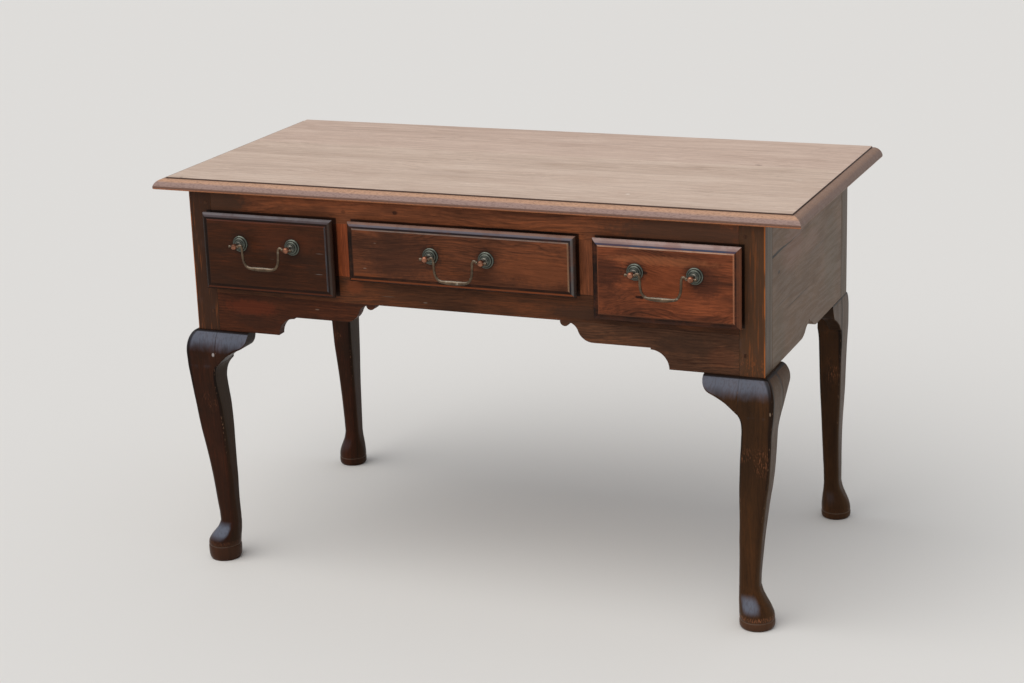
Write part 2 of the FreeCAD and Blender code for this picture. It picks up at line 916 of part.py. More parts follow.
def bail(centre):
    """Swan-neck bail: pins and end beads, a hump beside each post, slim arms, a swelled grip."""
    half = handle_spacing / 2
    start_x = half - post_ball_radius - 3 * running_gap
    pin_end = half + post_ball_radius + running_gap
    end = pin_end + 2 * bail_bead_radius

    def at(x, z):
        return V(x, 0, z)

    path = [
        (at(end, 0), bail_pin_radius * 0.6),
        (at(end - bail_bead_radius * 0.6, 0), bail_bead_radius),
        (at(pin_end + bail_bead_radius * 0.6, 0), bail_bead_radius),
        (at(pin_end, 0), bail_pin_radius),
        (at(start_x, 0), bail_pin_radius),
        (at(start_x - running_gap, 0), bail_rod_radius),
    ]
    curve = bent(
        [
            at(start_x - bail_rod_radius, 0),
            at(half - bail_hump_inset, bail_hump_corner),
            at(half - bail_arm_inset, -bail_drop),
            at(half - bail_grip_inset, -bail_drop),
        ],
        (bail_hump_bend, bail_arm_bend),
        bail_bend_steps,
    )
    path += [(point, bail_rod_radius) for point in curve]
    path.append((at((half - bail_grip_inset) / 2, -bail_drop), bail_grip_radius * 0.92))
    path.append((at(0, -bail_drop), bail_grip_radius))
    path += [(at(-point.x, point.z), radius) for point, radius in reversed(path[:-1])]
    rings = []
    for n, (point, radius) in enumerate(path):
        before = (point - path[max(n - 1, 0)][0]) if n else (path[1][0] - point)
        after = (path[n + 1][0] - point) if n + 1 < len(path) else before
        along = (before.normalize() + after.normalize()).normalize()
        stretch = 1 / math.cos(before.getAngle(after) / 2)
        rings.append(ring(centre + point, radius, along, bail_sides, stretch))
    return ringed(rings)


# ---- every piece, by the name of its node


def build():
    pieces = {}
    pieces["top_board_front"], pieces["top_board_back"] = top_board_pair()
    front_ear = ear(front_ear_length, front_knee_out, front_knee_roll)
    side_ear = ear(side_ear_length, front_knee_out, front_knee_roll)
    back_ear = ear(back_ear_length, back_knee_out_x, back_knee_roll)
    right_hand = {
        "leg_front": front_leg(),
        "leg_back": back_leg(),
        "knee_ear_front": front_ear,
        "knee_ear_side": turned_to_side(side_ear),
        "knee_ear_back": to_back(turned_to_side(back_ear)),
        "apron": apron(),
        "divider": divider(),
        "side_panel": side_panel(),
        "runner_outer": outer_runner(),
        "runner_inner": inner_runner(),
        "runner_middle": middle_runner(),
        "kicker_outer": outer_kicker(),
        "kicker_inner": inner_kicker(),
    }
    for name, shape in right_hand.items():
        pieces[name + "_right"] = shape
        pieces[name + "_left"] = to_left(shape)
    pieces["top_rail"] = top_rail()
    pieces["long_rail"] = long_rail()
    pieces["back_panel"] = back_panel()
    pieces["joint_pegs"] = Part.makeCompound(both_sides(front_pegs()))
    pieces["glue_blocks"] = glue_blocks()
    openings = {
        "left": (-post_inner, -divider_outer, side_opening_bottom, side_handle_rise, side_drawer_tails),
        "middle": (
            -divider_inner, divider_inner, middle_opening_bottom, middle_handle_rise,
            middle_drawer_tails,
        ),
        "right": (divider_outer, post_inner, side_opening_bottom, side_handle_rise, side_drawer_tails),
    }
    for place, opening in openings.items():
        made = drawer(*opening)
        for shape in made.values():
            shape.translate(V(0, -drawer_stand_out, 0))
        pieces["bail_" + place] = made.pop("bail")
        for name, shape in made.items():
            pieces["drawer_" + place + "_" + name] = shape
    return pieces


os.makedirs("parts", exist_ok=True)
for node, shape in build().items():
    placed = shape.copy()
    placed.translate(V(0, -depth_middle, 0))
    placed.exportStep("parts/" + node + ".step")
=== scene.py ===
import math

import bpy
import numpy as np
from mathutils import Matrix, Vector


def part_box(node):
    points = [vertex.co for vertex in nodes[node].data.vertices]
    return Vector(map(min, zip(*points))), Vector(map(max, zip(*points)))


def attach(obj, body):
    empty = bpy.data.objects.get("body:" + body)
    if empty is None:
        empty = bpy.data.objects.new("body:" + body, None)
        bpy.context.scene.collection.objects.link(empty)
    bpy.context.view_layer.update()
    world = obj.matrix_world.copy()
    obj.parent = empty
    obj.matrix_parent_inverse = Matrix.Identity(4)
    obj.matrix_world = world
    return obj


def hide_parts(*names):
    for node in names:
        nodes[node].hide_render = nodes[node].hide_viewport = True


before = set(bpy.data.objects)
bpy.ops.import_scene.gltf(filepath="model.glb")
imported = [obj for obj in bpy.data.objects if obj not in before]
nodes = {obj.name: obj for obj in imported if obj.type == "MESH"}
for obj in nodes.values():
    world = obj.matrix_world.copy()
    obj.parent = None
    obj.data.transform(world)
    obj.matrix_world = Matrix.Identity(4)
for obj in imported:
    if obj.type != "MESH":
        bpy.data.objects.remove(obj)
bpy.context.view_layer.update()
print("frame loaded,", len(nodes), "nodes")

# Edges of the case and the top, which the pieces and marks made here line up with
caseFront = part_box("top_rail")[0].y
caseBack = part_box("back_panel")[1].y
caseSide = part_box("side_panel_right")[1].x
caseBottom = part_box("apron_right")[0].z
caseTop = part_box("top_rail")[1].z
middleY = (caseFront + caseBack) / 2
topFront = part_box("top_board_front")[0].y
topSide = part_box("top_board_front")[1].x
mm = 0.001


# Mesh helpers

def meshPiece(name, points, faces, sharpAngle=40):
    mesh = bpy.data.meshes.new(name)
    mesh.from_pydata([tuple(p) for p in points], [], faces)
    mesh.validate()
    mesh.update()
    mesh.polygons.foreach_set("use_smooth", [True] * len(mesh.polygons))
    mesh.set_sharp_from_angle(angle=math.radians(sharpAngle))
    piece = bpy.data.objects.new(name, mesh)
    bpy.context.scene.collection.objects.link(piece)
    return piece


def loft(rings, closed=True, capped=True):
    # rings all have the same count of points; the skin runs from each ring to the next
    count = len(rings[0])
    points = [p for ring in rings for p in ring]
    faces = []
    for r in range(len(rings) - 1):
        for n in range(count if closed else count - 1):
            a = r * count + n
            b = r * count + (n + 1) % count
            faces.append((a, b, b + count, a + count))
    if capped:
        faces.append(tuple(reversed(range(count))))
        faces.append(tuple(range((len(rings) - 1) * count, len(rings) * count)))
    return points, faces


def joinParts(parts):
    points, faces = [], []
    for partPoints, partFaces in parts:
        start = len(points)
        points += list(partPoints)
        faces += [tuple(i + start for i in face) for face in partFaces]
    return points, faces


def turnedOver(points, faces):
    return points, [tuple(reversed(face)) for face in faces]


def mirrored(part, axis, at=0.0):
    points, faces = part
    moved = []
    for p in points:
        q = list(p)
        q[axis] = 2 * at - q[axis]
        moved.append(q)
    return turnedOver(moved, faces)


def storeValues(piece, name, values):
    piece.data.attributes.new(name, "FLOAT", "POINT").data.foreach_set("value", values)


def smoothCurve(xs, ys, at):
    # monotone cubic through the given points, so a curve never overshoots its stations
    xs, ys, at = np.asarray(xs, float), np.asarray(ys, float), np.asarray(at, float)
    step = np.diff(xs)
    slope = np.diff(ys) / step
    tangent = np.zeros(len(xs))
    tangent[0], tangent[-1] = slope[0], slope[-1]
    for n in range(1, len(xs) - 1):
        if slope[n - 1] * slope[n] > 0:
            w1, w2 = 2 * step[n] + step[n - 1], step[n] + 2 * step[n - 1]
            tangent[n] = (w1 + w2) / (w1 / slope[n - 1] + w2 / slope[n])
    place = np.clip(np.searchsorted(xs, at) - 1, 0, len(step) - 1)
    t = np.clip((at - xs[place]) / step[place], 0, 1)
    h = step[place]
    return (
        (2 * t**3 - 3 * t**2 + 1) * ys[place] + (t**3 - 2 * t**2 + t) * h * tangent[place]
        + (3 * t**2 - 2 * t**3) * ys[place + 1] + (t**3 - t**2) * h * tangent[place + 1]
    )


cornerSteps, sideSteps = 8, 4  # points on each corner and each side of a leg's outline


def roundedRing(x0, x1, y0, y1, r, z):
    # outline of a rectangle with rounded corners, evenly stepped along its straight sides
    shortest = 0.01 * mm
    r = min(r, (x1 - x0) / 2 - shortest, (y1 - y0) / 2 - shortest)
    corners = ((x1 - r, y0 + r, -90), (x1 - r, y1 - r, 0), (x0 + r, y1 - r, 90), (x0 + r, y0 + r, 180))
    arcs = []
    for cx, cy, start in corners:
        turns = [math.radians(start + 90 * n / cornerSteps) for n in range(cornerSteps + 1)]
        arcs.append([(cx + r * math.cos(t), cy + r * math.sin(t), z) for t in turns])
    ring = []
    for n, piece in enumerate(arcs):
        ring += piece
        a, b = piece[-1], arcs[(n + 1) % 4][0]
        for s in range(1, sideSteps):
            share = s / sideSteps
            ring.append((a[0] + share * (b[0] - a[0]), a[1] + share * (b[1] - a[1]), z))
    return ring


# Legs: sizes in mm, heights from the floor. "out" is how far the outer face stands outside the
# case, "wide" the leg's width, "arris" the radius of its corners. The first dictionary holds what
# all four have alike.
legShape = {
    "post": 45, "postHeights": (640, 560), "postEnd": 0.4, "postArris": 1.3, "kneeArris": 3.9,
    "kneeSteps": 24, "kneeEase": 1.15, "shaftStep": 3, "footSteps": 27, "ankleRoundness": 0.7,
    "roundBy": 1.15,
}
legTrack = ("outX", "outY", "wideX", "wideY", "arris")
frontLeg = {
    "height": (393, 386, 376, 358, 335, 310, 285, 260, 235, 210, 185, 160, 135, 110, 90, 75),
    "outX": (19, 18.4, 17.3, 15.3, 13.9, 12.1, 10.1, 7.2, 3.4, 0, -3.1, -5.9, -8.1, -10.2, -11.7, -12),
    "outY": (19, 19.2, 19, 18.4, 16.2, 13.8, 12.1, 10.7, 9.3, 7.6, 6.3, 5.5, 4.9, 4.3, 3.3, 3.2),
    "wideX": (64, 58.8, 55, 52.7, 53.2, 53.8, 53.2, 51.6, 48.5, 45.4, 42.8, 41, 38.9, 37.4, 36.7, 36.7),
    "wideY": (64, 58, 52, 47.5, 46.4, 45.7, 44.5, 42.7, 40.6, 39.2, 37.8, 36.6, 35.6, 34.7, 34.2, 34.6),
    "arris": (3, 3.2, 3.6, 4, 4.8, 5.7, 6.4, 7.1, 7.9, 8.6, 9.3, 10, 10.7, 11.5, 12.3, 13),
    "kneeOutX": 20, "kneeOutY": 20, "kneeRoll": 42,
    "footRadius": 31.4, "footInX": 16.5, "footInY": 9, "padHeight": {"right": 16, "left": 29},
}
backLeg = {
    "height": (393, 386, 376, 360, 330, 300, 270, 240, 210, 180, 150, 120, 100, 73),
    "outX": (1.9, 1.6, 1, 0.2, -1, -1.9, -2.6, -4.1, -5.7, -7, -7.7, -8, -8, -8),
    "outY": (13.3, 13.4, 13.6, 13.7, 14, 14.3, 14.7, 15, 14.9, 14.9, 15.7, 16.7, 17.6, 18),
    "wideX": (46.9, 46.7, 45.8, 44.8, 42.9, 41.5, 40.2, 38, 35.5, 33.5, 32.1, 31.1, 30.5, 30.2),
    "wideY": (58.3, 54, 50.9, 48.9, 48.9, 48.9, 48.3, 46.3, 44.1, 42.3, 40.7, 39.5, 38.7, 37.8),
    "arris": (3, 3.1, 3.2, 3.8, 4.4, 5.5, 6.4, 7.2, 7.8, 8.4, 9, 9.6, 10, 10.8),
    "kneeOutX": 2, "kneeOutY": 14, "kneeRoll": 30,
    "footRadius": 28.3, "footInX": 16.5, "footInY": -1.5, "padHeight": {"right": 14, "left": 16},
}
# Foot below the ankle: share of the way down, of the way over, and of the growth in width
footSwell = {
    "down": (0, 0.22, 0.44, 0.64, 0.82, 0.94, 1),
    "over": (0, 0.16, 0.44, 0.74, 0.93, 0.99, 1),
    "grow": (0, 0.16, 0.46, 0.76, 0.94, 0.97, 0.93),
}
# Pad under the foot: share of its height and of the foot's radius
padProfile = (
    (0.97, 0.945), (0.93, 0.985), (0.86, 1.0), (0.55, 1.0), (0.3, 0.985), (0.13, 0.945), (0.0, 0.88),
)


def legPart(leg, padHeight):
    # front right-hand leg with its post; the other corners are mirrored from it
    rings = []

    def add(height, outX, outY, wideX, wideY, arris):
        x1 = caseSide + outX * mm
        y0 = caseFront - outY * mm
        rings.append(roundedRing(x1 - wideX * mm, x1, y0, y0 + wideY * mm, arris * mm, height * mm))

    shape = legShape
    post, postArris = shape["post"], shape["postArris"]
    bottom = caseBottom / mm
    for height in (caseTop / mm, *shape["postHeights"], bottom + shape["postEnd"]):
        add(height, 0, 0, post, post, postArris)

    # the knee rolls out from under the case
    for n in range(shape["kneeSteps"] + 1):
        turn = math.pi / 2 * (n / shape["kneeSteps"]) ** shape["kneeEase"]
        out = math.sin(turn)
        outX, outY = leg["kneeOutX"] * out, leg["kneeOutY"] * out
        arris = postArris + (shape["kneeArris"] - postArris) * out
        add(bottom - leg["kneeRoll"] * (1 - math.cos(turn)), outX, outY, post + outX, post + outY, arris)

    # shaft down to the ankle
    heights = leg["height"]
    lowest = heights[-1] - 0.1  # a little lower, so that the last station has its ring too
    wanted = np.arange(heights[0], lowest, -shape["shaftStep"])
    track = [smoothCurve(heights[::-1], leg[key][::-1], wanted) for key in legTrack]
    for height, *sizes in zip(wanted, *track):
        add(height, *sizes)

    # foot from the ankle down to the pad, then the pad
    ankle = {key: leg[key][-1] for key in ("height", *legTrack)}
    ankleX = ankle["outX"] - ankle["wideX"] / 2
    ankleY = ankle["outY"] - ankle["wideY"] / 2
    radius = leg["footRadius"]
    steps = np.linspace(0, 1, shape["footSteps"] + 1)[1:]
    over = smoothCurve(footSwell["down"], footSwell["over"], steps)
    grow = smoothCurve(footSwell["down"], footSwell["grow"], steps)
    for down, overShare, growShare in zip(steps, over, grow):
        centreX = ankleX + overShare * (-leg["footInX"] - ankleX)
        centreY = ankleY + overShare * (-leg["footInY"] - ankleY)
        halfX = ankle["wideX"] / 2 * (1 - growShare) + radius * growShare
        halfY = ankle["wideY"] / 2 * (1 - growShare) + radius * growShare
        turned = min(1, overShare * shape["roundBy"])
        roundness = shape["ankleRoundness"] + (1 - shape["ankleRoundness"]) * turned
        height = ankle["height"] + down * (padHeight - ankle["height"])
        add(height, centreX + halfX, centreY + halfY, 2 * halfX, 2 * halfY, roundness * min(halfX, halfY))
    for share, size in padProfile:
        half = radius * size
        add(share * padHeight, half - leg["footInX"], half - leg["footInY"], 2 * half, 2 * half, half)
    return turnedOver(*loft(rings))


def measureLeg(piece, padHeight):
    # for the finish: how far away the nearest arris is, and the height over the pad, in mm
    quarter = cornerSteps + sideSteps
    places = [vertex.co.copy() for vertex in piece.data.vertices]
    toArris, overPad = [], []
    for start in range(0, len(places), 4 * quarter):
        ring = places[start:start + 4 * quarter]
        corners = [ring[n * quarter + cornerSteps // 2] for n in range(4)]
        toArris += [min((point - corner).length for corner in corners) / mm for point in ring]
        overPad += [point.z / mm - padHeight for point in ring]
    storeValues(piece, "toArris", toArris)
    storeValues(piece, "overPad", overPad)


legs = {}
for corner, leg in (("front", frontLeg), ("back", backLeg)):
    for side, padHeight in leg["padHeight"].items():
        part = legPart(leg, padHeight)
        if corner == "back":
            part = mirrored(part, 1, middleY)
        if side == "left":
            part = mirrored(part, 0)
        piece = meshPiece(f"carvedLeg_{corner}_{side}", *part, sharpAngle=50)
        measureLeg(piece, padHeight)
        legs[corner, side] = piece
        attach(piece, "case")
        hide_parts(f"leg_{corner}_{side}")
print("legs carved")


# Knee ears, sawn to an S and rolled like the knee beside them. Sizes in mm; "fall" is how deep
# the sawn outline lies below the case, as a share of the ear's full depth, from tip to leg. Each
# ear has its length, how far it stands out and how deep it rolls.
kneeEar = {
    "along": (0, 0.02, 0.06, 0.12, 0.2, 0.3, 0.42, 0.55, 0.7, 0.85, 0.95, 1),
    "fall": (0.13, 0.24, 0.33, 0.41, 0.465, 0.51, 0.565, 0.635, 0.735, 0.865, 0.955, 1),
    "depth": 63, "thickness": 22, "kneeFootOut": 0.95, "edge": 1.6, "tipEdge": 0.3, "lap": 3, "sunk": 0.5,
    "tipCuts": (0, 0.12, 9), "cuts": (0.15, 1, 26), "rollSteps": 20, "rollEase": 1.6, "edgeSteps": 4,
}
earSizes = {
    "front": {"length": 61.5, "out": 20, "roll": 42},
    "side": {"length": 54, "out": 20, "roll": 42},
    "back": {"length": 60, "out": 2, "roll": 30},
}


def earPart(length, out, roll):
    ear = kneeEar
    deep = ear["depth"]
    shares = np.concatenate([np.linspace(*ear["tipCuts"]), np.linspace(*ear["cuts"])])
    falls = smoothCurve(ear["along"], ear["fall"], shares) * deep

    def faceAt(below):
        # how far the rolled face stands out at a depth below the case
        if below >= roll:
            share = (below - roll) / (deep - roll)
            return out * (1 - share * (1 - ear["kneeFootOut"]))
        return out * math.sqrt(max(0, 1 - ((roll - below) / roll) ** 2))

    rings = []
    for share, fall in zip(shares, falls):
        x = caseSide - (legShape["post"] + length * (1 - share)) * mm
        edge = min(ear["edge"], fall * ear["tipEdge"])
        outline = [(-ear["thickness"], 0)]
        for n in range(ear["rollSteps"] + 1):
            below = (fall - edge) * (n / ear["rollSteps"]) ** ear["rollEase"]
            outline.append((faceAt(below), below))
        edgeOut = faceAt(fall - edge)
        for n in range(1, ear["edgeSteps"] + 1):
            turn = math.pi / 2 * n / ear["edgeSteps"]
            outline.append((edgeOut - edge * (1 - math.cos(turn)), fall - edge + edge * math.sin(turn)))
        outline.append((-ear["thickness"], fall))
        rings.append([(x, caseFront - o * mm, caseBottom - b * mm) for o, b in outline])
    # the glued end runs on into the rounded corner of the leg
    rings.append([(x + ear["lap"] * mm, y + ear["sunk"] * mm, z) for x, y, z in rings[-1]])
    return loft(rings)


def turnedToSide(part):
    # from the front of the right-hand front corner to the side of the same corner
    points, faces = part
    moved = [(caseSide + caseFront - y, caseFront + caseSide - x, z) for x, y, z in points]
    return turnedOver(moved, faces)


ears = {}
for place, size in earSizes.items():
    part = earPart(**size)
    if place != "front":
        part = turnedToSide(part)
    if place == "back":
        part = mirrored(part, 1, middleY)
    for side in ("right", "left"):
        shape = part if side == "right" else mirrored(part, 0)
        piece = meshPiece(f"kneeEar_{place}_{side}", *shape, sharpAngle=50)
        ears[place, side] = piece
        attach(piece, "case")
        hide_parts(f"knee_ear_{place}_{side}")
print("knee ears carved")


# Drawer handles, in mm: a stepped rosette, a turned post with a bored ball and a square nut, a
# swan-neck bail. Turned parts are given as (radius, distance in front of the drawer).
handle = {
    "spacing": 105, "reach": 23.5, "sides": 40, "bailSides": 16, "bailCuts": 90,
    "rosette": (
        (15.0, 0), (15.0, 1.0), (14.6, 1.7), (13.6, 2.2), (12.5, 2.6), (12.1, 3.2), (11.9, 4.0),
        (11.3, 4.7), (10.0, 5.2), (8.9, 5.45), (8.6, 5.6), (8.3, 6.1), (7.4, 6.5), (2.7, 6.5),
    ),
    "post": (
        (2.6, -22), (2.6, 6.5), (5.7, 6.5), (5.9, 7.0), (5.7, 7.8), (4.6, 8.5), (3.7, 9.6), (3.4, 11.5),
        (3.45, 15.0), (3.9, 17.3), (4.9, 18.7), (5.45, 20.6), (5.6, 23.5), (5.35, 25.3), (4.6, 27.0),
        (3.4, 28.05), (1.6, 28.4), (0.4, 28.42),
    ),
    "nut": {"half": 5.5, "back": 12, "front": 16},
    "pinRadius": 1.75, "rodRadius": 2.35, "gripRadius": 4.1, "drop": 38,
}


def handlePlaces(drawer):
    # where the two posts of a drawer's handle meet its front
    low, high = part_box(f"drawer_{drawer}_rosettes")
    half = handle["spacing"] / 2 * mm
    return [((low.x + high.x) / 2 + side * half, high.y, (low.z + high.z) / 2) for side in (-1, 1)]


def turnedPart(profile, place):
    # turned round an axis that runs forward from its place on the drawer
    turns = [2 * math.pi * n / handle["sides"] for n in range(handle["sides"])]
    rings = []
    for radius, reach in profile:
        y, r = place[1] - reach * mm, radius * mm
        rings.append([(place[0] + r * math.cos(t), y, place[2] + r * math.sin(t)) for t in turns])
    return loft(rings)


def nutPart(place):
    # square nut on the shank, inside the drawer
    nut = handle["nut"]
    half = nut["half"] * mm
    corners = ((-half, -half), (half, -half), (half, half), (-half, half))
    ends = (caseFront + nut["front"] * mm, caseFront + nut["back"] * mm)
    return loft([[(place[0] + x, y, place[2] + z) for x, z in corners] for y in ends])


def measureTurned(piece, profile):
    # for the finish: distance from the axis and reach in front of the drawer, in mm; nuts have none
    values = [pair for pair in profile for n in range(handle["sides"])] * 2
    values += [(0, 0)] * (len(piece.data.vertices) - len(values))
    storeValues(piece, "fromAxis", [radius for radius, reach in values])
    storeValues(piece, "reach", [reach for radius, reach in values])


def tubePart(path):
    # path holds (point, radius) pairs in one x-z plane, in metres
    sides = handle["bailSides"]
    rings = []
    for n, (point, radius) in enumerate(path):
        before = Vector(path[max(n - 1, 0)][0])
        after = Vector(path[min(n + 1, len(path) - 1)][0])
        along = (after - before).normalized()
        across = Vector((0, 1, 0))
        other = along.cross(across).normalized()
        ring = []
        for s in range(sides):
            t = 2 * math.pi * s / sides
            ring.append(Vector(point) + (across * math.cos(t) + other * math.sin(t)) * radius)
        rings.append(ring)
    return loft(rings)


def bailPart(centre):
    half = handle["spacing"] / 2
    pin, rod, grip, drop = (handle[k] for k in ("pinRadius", "rodRadius", "gripRadius", "drop"))
    # right half of the bail from its end bead to the middle of the grip: x, z, radius
    key = (
        (half + 11.4, 0, 0.5), (half + 11.1, 0, 1.5), (half + 10.2, 0, 2.45), (half + 8.7, 0, 2.7),
        (half + 7.2, 0, 2.4), (half + 6.4, 0, 1.9), (half + 5.9, 0, pin), (half, 0, pin),
        (half - 5.8, 0, pin), (half - 6.3, 0.05, 2.3), (half - 6.8, 0.2, 2.75), (half - 7.6, 0.55, 2.7),
        (half - 8.5, 1.15, 2.4), (half - 10.2, 2.45, rod), (half - 12.0, 3.0, rod),
        (half - 13.7, 2.6, rod), (half - 15.0, 1.2, rod), (half - 15.75, -1.0, rod),
        (half - 16.1, -4.0, rod), (half - 16.35, -9.0, rod), (half - 16.6, -15.0, rod),
        (half - 17.1, -20.5, rod), (half - 18.3, -26.0, rod), (half - 20.6, -31.0, rod),
        (half - 24.0, -35.0, rod + 0.1), (half - 28.2, -37.2, rod + 0.35), (half - 33.0, -drop, 3.0),
        (half - 40.0, -drop - 0.3, 3.7), (0, -drop - 0.5, grip),
    )
    span = np.cumsum([0] + [math.dist(a[:2], b[:2]) for a, b in zip(key, key[1:])])
    fine = np.unique(np.concatenate([span, np.linspace(0, span[-1], handle["bailCuts"])]))
    columns = [smoothCurve(span, [k[c] for k in key], fine) for c in range(3)]
    rightHalf = list(zip(*columns))
    whole = rightHalf + [(-x, z, r) for x, z, r in reversed(rightHalf[:-1])]
    return tubePart([
        ((centre[0] + x * mm, centre[1], centre[2] + z * mm), r * mm) for x, z, r in whole
    ])


brasses = {"rosette": [], "post": [], "bail": []}
for place in ("left", "middle", "right"):
    posts = handlePlaces(place)
    for kind, name in (("rosette", "rosettes"), ("post", "handle_posts")):
        parts = [turnedPart(handle[kind], at) for at in posts]
        if kind == "post":
            parts += [nutPart(at) for at in posts]
        piece = meshPiece(f"{kind}s_{place}", *joinParts(parts), sharpAngle=35)
        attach(piece, f"{place}_drawer")
        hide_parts(f"drawer_{place}_{name}")
        measureTurned(piece, handle[kind])
        brasses[kind].append(piece)
    (leftX, face, z), (rightX, face, z) = posts
    centre = ((leftX + rightX) / 2, face - handle["reach"] * mm, z)
    bail = meshPiece(f"swanNeckBail_{place}", *bailPart(centre), sharpAngle=50)
    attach(bail, f"{place}_bail")
    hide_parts(f"bail_{place}")
    brasses["bail"].append(bail)
print("handles made")


# Worn edges of the sawn boards, widths in mm
edgeWear = {
    "top": 0.6, "drawerFront": 0.7, "sidePanel": 0.7, "pegs": 0.15, "plain": 0.5,
    "angle": 30, "steps": 2, "weld": 0.02, "flat": 1,
}


def easeEdges(piece, kind):
    weld = piece.modifiers.new("join faces", "WELD")
    weld.merge_threshold = edgeWear["weld"] * mm
    flat = piece.modifiers.new("whole faces", "DECIMATE")
    flat.decimate_type = "DISSOLVE"
    flat.angle_limit = math.radians(edgeWear["flat"])
    bevel = piece.modifiers.new("eased edges", "BEVEL")
    bevel.width = edgeWear[kind] * mm
    bevel.segments = edgeWear["steps"]
    bevel.limit_method = "ANGLE"
    bevel.angle_limit = math.radians(edgeWear["angle"])
    bevel.use_clamp_overlap = True
    bevel.miter_outer = "MITER_ARC"
    normals = piece.modifiers.new("shading", "WEIGHTED_NORMAL")
    normals.keep_sharp = False
    normals.weight = 100


# Node helpers for the finishes

def put(kind, wires=None, tree=None, **settings):
    # adds a node, to the tree that its wires come from when none is given
    wires = wires or {}
    tree = tree or next(v.id_data for v in wires.values() if isinstance(v, bpy.types.NodeSocket))
    made = tree.nodes.new(kind)
    for key, value in settings.items():
        setattr(made, key, value)
    for socket, value in wires.items():
        if isinstance(value, bpy.types.NodeSocket):
            tree.links.new(value, made.inputs[socket])
        else:
            made.inputs[socket].default_value = value
    return made


def calc(operation, a, b=0.0, clamp=False):
    return put("ShaderNodeMath", {0: a, 1: b}, operation=operation, use_clamp=clamp).outputs[0]


def times(value, *others):
    for other in others:
        value = calc("MULTIPLY", value, other)
    return value


def plus(a, b, clamp=False):
    return calc("ADD", a, b, clamp)


def less(a, b, clamp=False):
    return calc("SUBTRACT", a, b, clamp)


def vectorCalc(operation, a, b=(0, 0, 0)):
    made = put("ShaderNodeVectorMath", {0: a, 1: b}, operation=operation)
    return made.outputs["Value" if operation in ("LENGTH", "DOT_PRODUCT") else "Vector"]


def split(vector):
    return put("ShaderNodeSeparateXYZ", {0: vector}).outputs


def combine(**parts):
    return put("ShaderNodeCombineXYZ", {name.upper(): part for name, part in parts.items()}).outputs[0]


def facing(at):
    # the way the surface looks at this place
    return put("ShaderNodeNewGeometry", tree=at.id_data).outputs["Normal"]


def stored(at, name):
    # what was measured on the mesh at this place
    return put("ShaderNodeAttribute", tree=at.id_data, attribute_name=name).outputs["Fac"]


def spread(value, low, high, newLow=0.0, newHigh=1.0):
    wires = {0: value, 1: low, 2: high, 3: newLow, 4: newHigh}
    return put("ShaderNodeMapRange", wires, interpolation_type="SMOOTHSTEP", clamp=True).outputs[0]


def between(value, low, high, soft):
    # 1 from low to high, with soft edges
    above = spread(value, low - soft, low + soft)
    return times(above, spread(value, high + soft, high - soft))


def light(colour, depth=1.0):
    # a colour as read on a screen, 0 to 255, as linear light; a depth under 1 darkens it
    shares = [c / 255 for c in colour]
    return tuple(depth * (((c + 0.055) / 1.055) ** 2.4 if c > 0.04 else c / 12.92) for c in shares)


def tint(share, under, over, depth=1.0):
    # lays a share of one colour over another; each is wired in, or given as read on a screen
    wires = {0: share, 6: under, 7: over}
    for socket, deep in ((6, 1.0), (7, depth)):
        if isinstance(wires[socket], tuple):
            wires[socket] = (*light(wires[socket], deep), 1)
    return put("ShaderNodeMix", wires, data_type="RGBA").outputs[2]


def noise(vector, stretch=(1, 1, 1), shift=(0, 0, 0), detail=3.0, roughness=0.55):
    moved = put("ShaderNodeMapping", {"Vector": vector, "Location": shift, "Scale": stretch}).outputs[0]
    wires = {"Vector": moved, "Scale": 1.0, "Detail": detail, "Roughness": roughness}
    return put("ShaderNodeTexNoise", wires).outputs["Fac"]


def figure(place, length, width, shift=0.0, detail=2.0, roughness=0.5):
    # soft patches of this length along the grain and width across it in mm, from -0.5 to 0.5
    stretch = (1 / (length * mm), 1 / (width * mm), 1 / (width * mm))
    cloudy = noise(place, stretch, (shift, 3 * shift, 5 * shift), detail, roughness)
    return spread(cloudy, 0.27, 0.73, -0.5, 0.5)


def patches(place, sizes, low, high, newLow=0.0, newHigh=1.0):
    # how much a figure shows, from the level low to the level high
    return spread(figure(place, *sizes), low, high, newLow, newHigh)


# Ragged edges of single marks: how fine the rag is, and where a mark ends and is full, as shares
# of its half widths
markEdge = {"rag": 130, "end": 1.15, "full": 0.55}


def spot(at, centre, size, rag=0.25):
    # soft mask round a point of the object, size being its half widths
    away = vectorCalc("DIVIDE", vectorCalc("SUBTRACT", at, centre), size)
    rough = noise(at, (markEdge["rag"],) * 3, centre, 3.0, 0.6)
    far = plus(vectorCalc("LENGTH", away), times(less(rough, 0.5), 4 * rag))
    return spread(far, markEdge["end"], markEdge["full"])


def spots(at, colour, marks, rag=0.25, level=None):
    # marks on a level face when a level is given, otherwise on the front
    deep = 0.2  # reaches into the moulding and the lips too
    for (a, b), (wideA, wideB), shade, strength in marks:
        if level is None:
            centre, size = (a * mm, caseFront, b * mm), (wideA * mm, deep, wideB * mm)
        else:
            centre, size = (a * mm, b * mm, level), (wideA * mm, wideB * mm, deep)
        there = spot(at, centre, size, rag)
        colour = tint(times(there, strength), colour, shade)
    return colour


def startFinish(name):
    # a new material, and the place on the object that its nodes start from
    material = bpy.data.materials.new(name)
    material.use_nodes = True
    material.node_tree.nodes.clear()
    return material, put("ShaderNodeTexCoord", tree=material.node_tree).outputs["Object"]


def endFinish(relief, strength, distance, wires):
    bump = put("ShaderNodeBump", {"Height": relief, "Strength": strength, "Distance": distance})
    shader = put("ShaderNodeBsdfPrincipled", {**wires, "Normal": bump.outputs[0]})
    put("ShaderNodeOutputMaterial", {"Surface": shader.outputs[0]})


